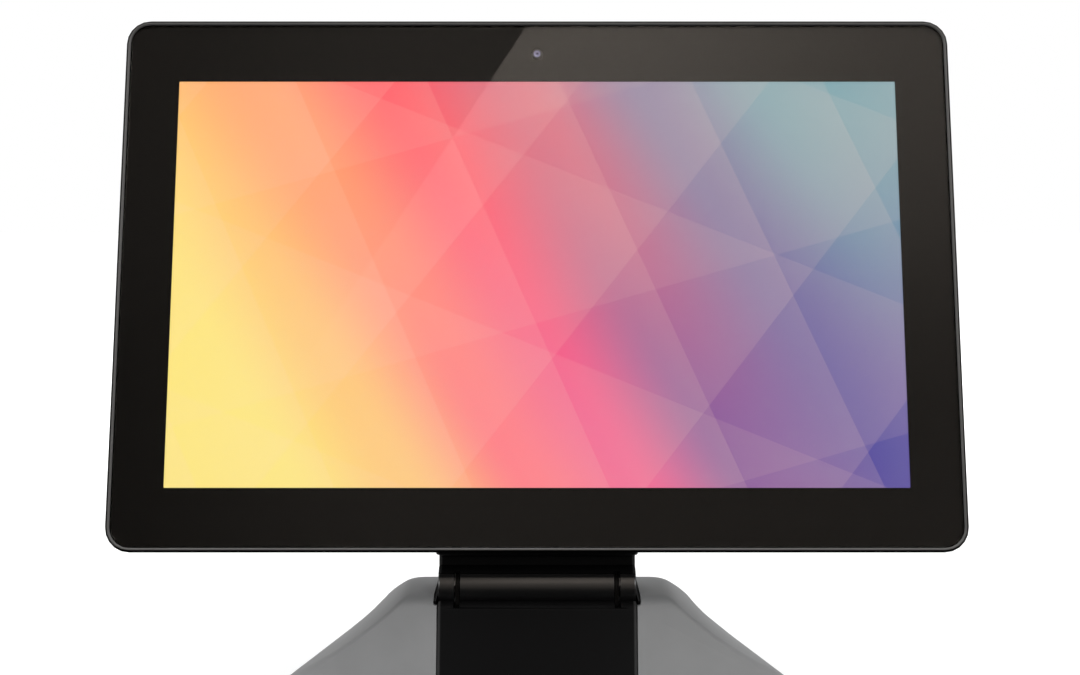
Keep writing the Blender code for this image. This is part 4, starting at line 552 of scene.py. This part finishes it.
def black_with_edge_highlight(name, node):
    """The matt black with a painted highlight: a dull grey line along both sides of the node."""
    half_width = max(vertex.co.x for vertex in nodes[node].data.vertices)
    material = matt(name)
    tree = material.node_tree
    shader = tree.nodes["Principled BSDF"]
    plain = shader.inputs["Base Color"].links[0].from_socket
    place = tree.nodes.new("ShaderNodeTexCoord")
    parts = tree.nodes.new("ShaderNodeSeparateXYZ")
    tree.links.new(place.outputs["Object"], parts.inputs[0])
    sideways = tree.nodes.new("ShaderNodeMath")
    sideways.operation = "ABSOLUTE"
    tree.links.new(parts.outputs["X"], sideways.inputs[0])
    line = tree.nodes.new("ShaderNodeMapRange")
    line.inputs["From Min"].default_value = half_width - EDGE_HIGHLIGHT_WIDTH
    line.inputs["From Max"].default_value = half_width - FULL_EDGE_HIGHLIGHT
    tree.links.new(sideways.outputs[0], line.inputs["Value"])
    painted_line = tree.nodes.new("ShaderNodeMix")
    painted_line.data_type = "RGBA"
    painted_line.inputs["B"].default_value = (EDGE_HIGHLIGHT_GREY, EDGE_HIGHLIGHT_GREY, EDGE_HIGHLIGHT_GREY, 1.0)
    tree.links.new(line.outputs["Result"], painted_line.inputs["Factor"])
    tree.links.new(plain, painted_line.inputs["A"])
    tree.links.new(painted_line.outputs["Result"], shader.inputs["Base Color"])
    print(name, "half width, mm:", round(half_width * 1000, 1))
    return material


# The panel and the neck get the painted edge highlight.
finished["front_panel"].data.materials[0] = black_with_edge_highlight("panel_black", "front_panel")
finished["neck_front_cover"].data.materials[0] = black_with_edge_highlight("neck_black", "neck_front_cover")

# %% [markdown]
# The screws that hold the cover and the base plate are pan heads with a star recess for the driver.
# Each is a stack of rings from its point to its top, bridged one after another. The last two rings
# have every second point drawn in, which makes the star, and the last lies sunk in the head.

# %% A ring of edges
ROUND = 24


def ring(bm, radius, depth, segments=ROUND, pull=1.0):
    """A closed ring of edges about Z, with every second point drawn in by a factor."""
    made = bmesh.ops.create_circle(bm, segments=segments, radius=radius)["verts"]
    bmesh.ops.translate(bm, vec=(0.0, 0.0, depth), verts=made)
    bmesh.ops.scale(bm, vec=(pull, pull, 1.0), verts=made[::2])
    edges = []
    for vert in made:
        edges += [edge for edge in vert.link_edges if edge not in edges]
    return edges


print("ring points:", ROUND)

# %% Screws with a star recess
SHANK_RADIUS = 0.0015
POINT = 0.0006
HEAD_HEIGHT = 0.0016
HEAD_CURVE = ((1.0, 0.0), (1.0, 0.35), (0.94, 0.70), (0.82, 0.93), (0.68, 1.0))
STAR = 12
STAR_RADIUS = 0.0018
STAR_DEPTH = 0.0009
STAR_TAPER = 0.0001
STAR_PULL = 0.72


def star_screw(node, own_space):
    """A screw that stands for the solid. In its own space its head looks up."""
    low, high = box_in(own_space.inverted(), node)
    radius = (high.x - low.x) / 2
    top = high.z
    seat = top - HEAD_HEIGHT
    bm = bmesh.new()
    rings = [
        ring(bm, SHANK_RADIUS - POINT, low.z),
        ring(bm, SHANK_RADIUS, low.z + POINT),
        ring(bm, SHANK_RADIUS, seat),
        *[ring(bm, width * radius, seat + rise * HEAD_HEIGHT) for width, rise in HEAD_CURVE],
        ring(bm, STAR_RADIUS, top, STAR, STAR_PULL),
        ring(bm, STAR_RADIUS - STAR_TAPER, top - STAR_DEPTH, STAR, STAR_PULL),
    ]
    for lower, upper in zip(rings, rings[1:]):
        bmesh.ops.bridge_loops(bm, edges=lower + upper)
    bmesh.ops.holes_fill(bm, edges=bm.edges)
    bmesh.ops.recalc_face_normals(bm, faces=bm.faces)
    place = own_space @ Matrix.Translation((low + high) / 2 * Vector((1.0, 1.0, 0.0)))
    bmesh.ops.transform(bm, matrix=place, verts=bm.verts)
    piece = made_of(bm, node + "_finished", looks["steel"], sharp=38)
    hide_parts(node)
    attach(piece, body_of_node[node])
    return piece


HEAD_BACKWARDS = from_head @ Matrix.Rotation(radians(-90), 4, "X")
BASE_DOWNWARDS = Matrix.Rotation(radians(180), 4, "X")
for node in nodes:
    if node.startswith("cover_screw"):
        finished[node] = star_screw(node, HEAD_BACKWARDS)
    if node.startswith("base_screw"):
        finished[node] = star_screw(node, BASE_DOWNWARDS)
screw_faces = finished["cover_screw_1"].data.polygons
print("triangles in a screw:", sum(len(face.vertices) - 2 for face in screw_faces))

# %% [markdown]
# The metal rim is anodised almost black. Its narrow front flat and the small slope down to the glass
# are given a satin grey as a painted highlight, for the light that this chamfer catches, so they show as a
# thin lighter line inside a black one. Those faces turn forwards without turning outwards, and that
# finds them.

# %% The painted highlight on the rim's edge
RIM_HIGHLIGHT_DEPTH = 0.0009
RIM_HIGHLIGHT_FACING = -0.3
RIM_HIGHLIGHT_OUTWARDS = 0.001
rim = finished["front_frame"].data
# The satin grey of the painted highlight goes on the front flat and the slope.
rim.materials.append(finish("rim_painted_highlight", (0.050, 0.048, 0.046), 0.45, depth=0.00001))
rim_low, rim_high = box_in(to_head, "front_frame")
rim_middle = (rim_low + rim_high) / 2
turn_to_head = to_head.to_3x3()
bright = 0
for face in rim.polygons:
    facing = turn_to_head @ face.normal
    spot = to_head @ face.center
    outwards = facing.x * (spot.x - rim_middle.x) + facing.z * (spot.z - rim_middle.z)
    if facing.y < RIM_HIGHLIGHT_FACING and outwards < RIM_HIGHLIGHT_OUTWARDS and spot.y < rim_low.y + RIM_HIGHLIGHT_DEPTH:
        face.material_index = 1
        bright += 1
print("bright faces:", bright, "of", len(rim.polygons))

# %% [markdown]
# What is left lies inside and hardly shows, so those solids only need their finish.

# %% Finishes for the inner solids
for node, solid in nodes.items():
    if node in finished:
        continue
    solid.data.materials.clear()
    solid.data.materials.append(looks[slot_of_node[node]])
print("plain solids:", len(nodes) - len(finished))

# %% [markdown]
# The picture looks as if it was taken in a white studio. The background is white to the camera, and
# what the glass and the black plastic mirror is the darker side of the room in front of them.

# %% World
FILL = 0.16
world = bpy.data.worlds.new("studio")
bpy.context.scene.world = world
world.use_nodes = True
tree = world.node_tree
background = tree.nodes["Background"]
rays = tree.nodes.new("ShaderNodeLightPath")
tone = tree.nodes.new("ShaderNodeMix")
tone.data_type = "RGBA"
tone.inputs["A"].default_value = (FILL, FILL, FILL, 1.0)
tone.inputs["B"].default_value = (1.0, 1.0, 1.0, 1.0)
seen = rays.outputs["Is Camera Ray"]
for kind in ("Is Glossy Ray", "Is Transmission Ray"):
    either = tree.nodes.new("ShaderNodeMath")
    either.operation = "MAXIMUM"
    tree.links.new(seen, either.inputs[0])
    tree.links.new(rays.outputs[kind], either.inputs[1])
    seen = either.outputs[0]
tree.links.new(seen, tone.inputs["Factor"])
tree.links.new(tone.outputs["Result"], background.inputs["Color"])
print("fill from the room:", FILL)

# %% [markdown]
# The floor runs out so far that its edge never shows. Close to the stand it keeps its soft shadow.
# Further out it glows white for the camera, so that floor and background are one.

# %% Floor
FLOOR_HALF = 40.0
SHADOW_REACH = 0.30
WHITE_FROM = 1.10
GLOW_NEAR = 0.35
FLOOR_GREY = 0.80
white = bpy.data.materials.new("floor_white")
white.use_nodes = True
tree = white.node_tree
shader = tree.nodes["Principled BSDF"]
shader.inputs["Base Color"].default_value = (FLOOR_GREY, FLOOR_GREY, FLOOR_GREY, 1.0)
shader.inputs["Roughness"].default_value = 0.9
shader.inputs["Specular IOR Level"].default_value = 0.0
shader.inputs["Emission Color"].default_value = (1.0, 1.0, 1.0, 1.0)
place = tree.nodes.new("ShaderNodeTexCoord")
away = tree.nodes.new("ShaderNodeVectorMath")
away.operation = "LENGTH"
tree.links.new(place.outputs["Object"], away.inputs[0])
glow = tree.nodes.new("ShaderNodeMapRange")
glow.inputs["From Min"].default_value = SHADOW_REACH
glow.inputs["From Max"].default_value = WHITE_FROM
glow.inputs["To Min"].default_value = GLOW_NEAR
tree.links.new(away.outputs["Value"], glow.inputs["Value"])
rays = tree.nodes.new("ShaderNodeLightPath")
seen = tree.nodes.new("ShaderNodeMath")
seen.operation = "MULTIPLY"
tree.links.new(rays.outputs["Is Camera Ray"], seen.inputs[0])
tree.links.new(glow.outputs["Result"], seen.inputs[1])
tree.links.new(seen.outputs[0], shader.inputs["Emission Strength"])
bm = bmesh.new()
bmesh.ops.create_grid(bm, x_segments=1, y_segments=1, size=FLOOR_HALF)
floor = made_of(bm, "floor", white)
print("floor, m across:", 2 * FLOOR_HALF)

# %% [markdown]
# The glass is a mirror for whatever stands before it: a dim warm room, and one white card whose
# straight edge crosses the screen as a slanting line of glare. Both are painted on one wall that only
# mirrored rays can see. The wall's place follows from the mirror rule: a ray from the lens that meets
# the glass near its top leaves upwards, and one that meets it near its bottom leaves almost level.

# %% Where the mirrored wall stands
WALL_Y = -3.0
WALL_HALF_WIDTH = 2.4
WALL_TOP = 2.7
EDGE_TOP = Vector((-0.048, WALL_Y, 2.457))
EDGE_FOOT = Vector((-0.677, WALL_Y, 1.332))
edge_line = (EDGE_FOOT - EDGE_TOP).normalized()
across_edge = Vector((-edge_line.z, 0.0, edge_line.x))
lean = degrees(edge_line.angle(Vector((0.0, 0.0, -1.0))))
print("wall at y, m:", WALL_Y, "card edge leans, degrees:", round(lean, 1))


def mirrored_sheet(name, half_width, half_height, tilt, middle, look):
    """A flat sheet of the stage that only mirrored rays can see."""
    bm = bmesh.new()
    bmesh.ops.create_grid(bm, x_segments=1, y_segments=1, size=1.0)
    bmesh.ops.scale(bm, vec=(half_width, half_height, 1.0), verts=bm.verts)
    bmesh.ops.rotate(bm, matrix=Matrix.Rotation(tilt, 4, "X"), verts=bm.verts)
    bmesh.ops.translate(bm, vec=middle, verts=bm.verts)
    sheet = made_of(bm, name, look)
    sheet.visible_camera = False
    sheet.visible_diffuse = False
    sheet.visible_shadow = False
    return sheet


# %% [markdown]
# The wall gives light but reflects none, so it is all in the strength of its emission. The room grows
# lighter to the right and upwards. Beyond the card's edge the card is added, and it fades towards the
# foot and the far side. Each fade is a Map Range from one place to another.

# %% The room and the card on that wall
ROOM_SIDEWAYS = (-1.6, -0.45, 0.16, 0.42)
ROOM_UPWARDS = (0.6, 2.3, 0.0, 0.19)
CARD_EDGE = (-0.004, 0.004, 0.0, 2.0)
CARD_UPWARDS = (0.85, 2.457, 0.0, 1.0)
CARD_SIDEWAYS = (0.10, 1.65, 1.0, 0.38)
ROOM_TINT = (1.14, 1.0, 0.88, 1.0)
room = bpy.data.materials.new("mirrored_room")
room.use_nodes = True
tree = room.node_tree
shader = tree.nodes["Principled BSDF"]
shader.inputs["Base Color"].default_value = (0.0, 0.0, 0.0, 1.0)
shader.inputs["Specular IOR Level"].default_value = 0.0
shader.inputs["Emission Color"].default_value = ROOM_TINT
place = tree.nodes.new("ShaderNodeTexCoord")
parts = tree.nodes.new("ShaderNodeSeparateXYZ")
tree.links.new(place.outputs["Object"], parts.inputs[0])


def fade(source, start, end, low, high):
    """A soft change from low to high while the source goes from start to end."""
    node = tree.nodes.new("ShaderNodeMapRange")
    node.interpolation_type = "SMOOTHSTEP"
    node.inputs["From Min"].default_value = start
    node.inputs["From Max"].default_value = end
    node.inputs["To Min"].default_value = low
    node.inputs["To Max"].default_value = high
    tree.links.new(source, node.inputs["Value"])
    return node.outputs["Result"]


def combined(operation, first, second):
    node = tree.nodes.new("ShaderNodeMath")
    node.operation = operation
    tree.links.new(first, node.inputs[0])
    tree.links.new(second, node.inputs[1])
    return node.outputs[0]


from_edge = tree.nodes.new("ShaderNodeVectorMath")
from_edge.operation = "SUBTRACT"
from_edge.inputs[1].default_value = EDGE_TOP
tree.links.new(place.outputs["Object"], from_edge.inputs[0])
beyond = tree.nodes.new("ShaderNodeVectorMath")
beyond.operation = "DOT_PRODUCT"
beyond.inputs[1].default_value = across_edge
tree.links.new(from_edge.outputs["Vector"], beyond.inputs[0])
dim = combined("ADD", fade(parts.outputs["X"], *ROOM_SIDEWAYS), fade(parts.outputs["Z"], *ROOM_UPWARDS))
card = fade(beyond.outputs["Value"], *CARD_EDGE)
card = combined("MULTIPLY", card, fade(parts.outputs["Z"], *CARD_UPWARDS))
card = combined("MULTIPLY", card, fade(parts.outputs["X"], *CARD_SIDEWAYS))
tree.links.new(combined("ADD", dim, card), shader.inputs["Emission Strength"])
wall_middle = (0.0, WALL_Y, WALL_TOP / 2)
wall = mirrored_sheet("mirrored_wall", WALL_HALF_WIDTH, WALL_TOP / 2, radians(90), wall_middle, room)
print("wall, m across:", 2 * WALL_HALF_WIDTH)

# %% [markdown]
# The black neck shows the same kind of mirror from below. Its lower half faces the counter before the
# stand, and a pale counter there would light it like a lamp. It is dark, so the scene lays a dark cloth
# before the stand, just below the picture's edge, which only mirrored rays can see.

# %% The dark cloth on the counter
CLOTH_HALF_WIDTH = 2.2
CLOTH_HALF_DEPTH = 1.5
CLOTH_MIDDLE = (0.0, -1.45, 0.001)
cloth_black = finish("dark_cloth", (0.004, 0.004, 0.004), 0.9, mirror=0.0)
cloth = mirrored_sheet("dark_cloth", CLOTH_HALF_WIDTH, CLOTH_HALF_DEPTH, 0.0, CLOTH_MIDDLE, cloth_black)
print("cloth, m deep:", 2 * CLOTH_HALF_DEPTH)

# %% [markdown]
# Three soft lamps light the object at a plain level. A large one lies over it like a light tent and
# gives the floor its soft shadow. Two smaller ones stand to the left and the right in front, the right
# one a little stronger, so that the stand's two faces differ.

# %% Soft lights
LAMPS = (
    ("overhead", (0.0, 0.3, 1.6), (0.0, 0.3, 0.0), 3.6, 60.0),
    ("left_wall", (-1.9, -1.7, 1.1), (0.0, 0.0, 0.1), 0.9, 17.5),
    ("right_wall", (1.9, -1.7, 1.1), (0.0, 0.0, 0.1), 0.9, 22.0),
)
for name, place, aim, size, power in LAMPS:
    data = bpy.data.lights.new(name, "AREA")
    data.shape = "RECTANGLE"
    data.size = size
    data.size_y = size
    data.energy = power
    light = bpy.data.objects.new(name, data)
    bpy.context.scene.collection.objects.link(light)
    light.location = place
    light.rotation_euler = (Vector(aim) - Vector(place)).to_track_quat("-Z", "Y").to_euler()
print("lamps:", len(LAMPS))
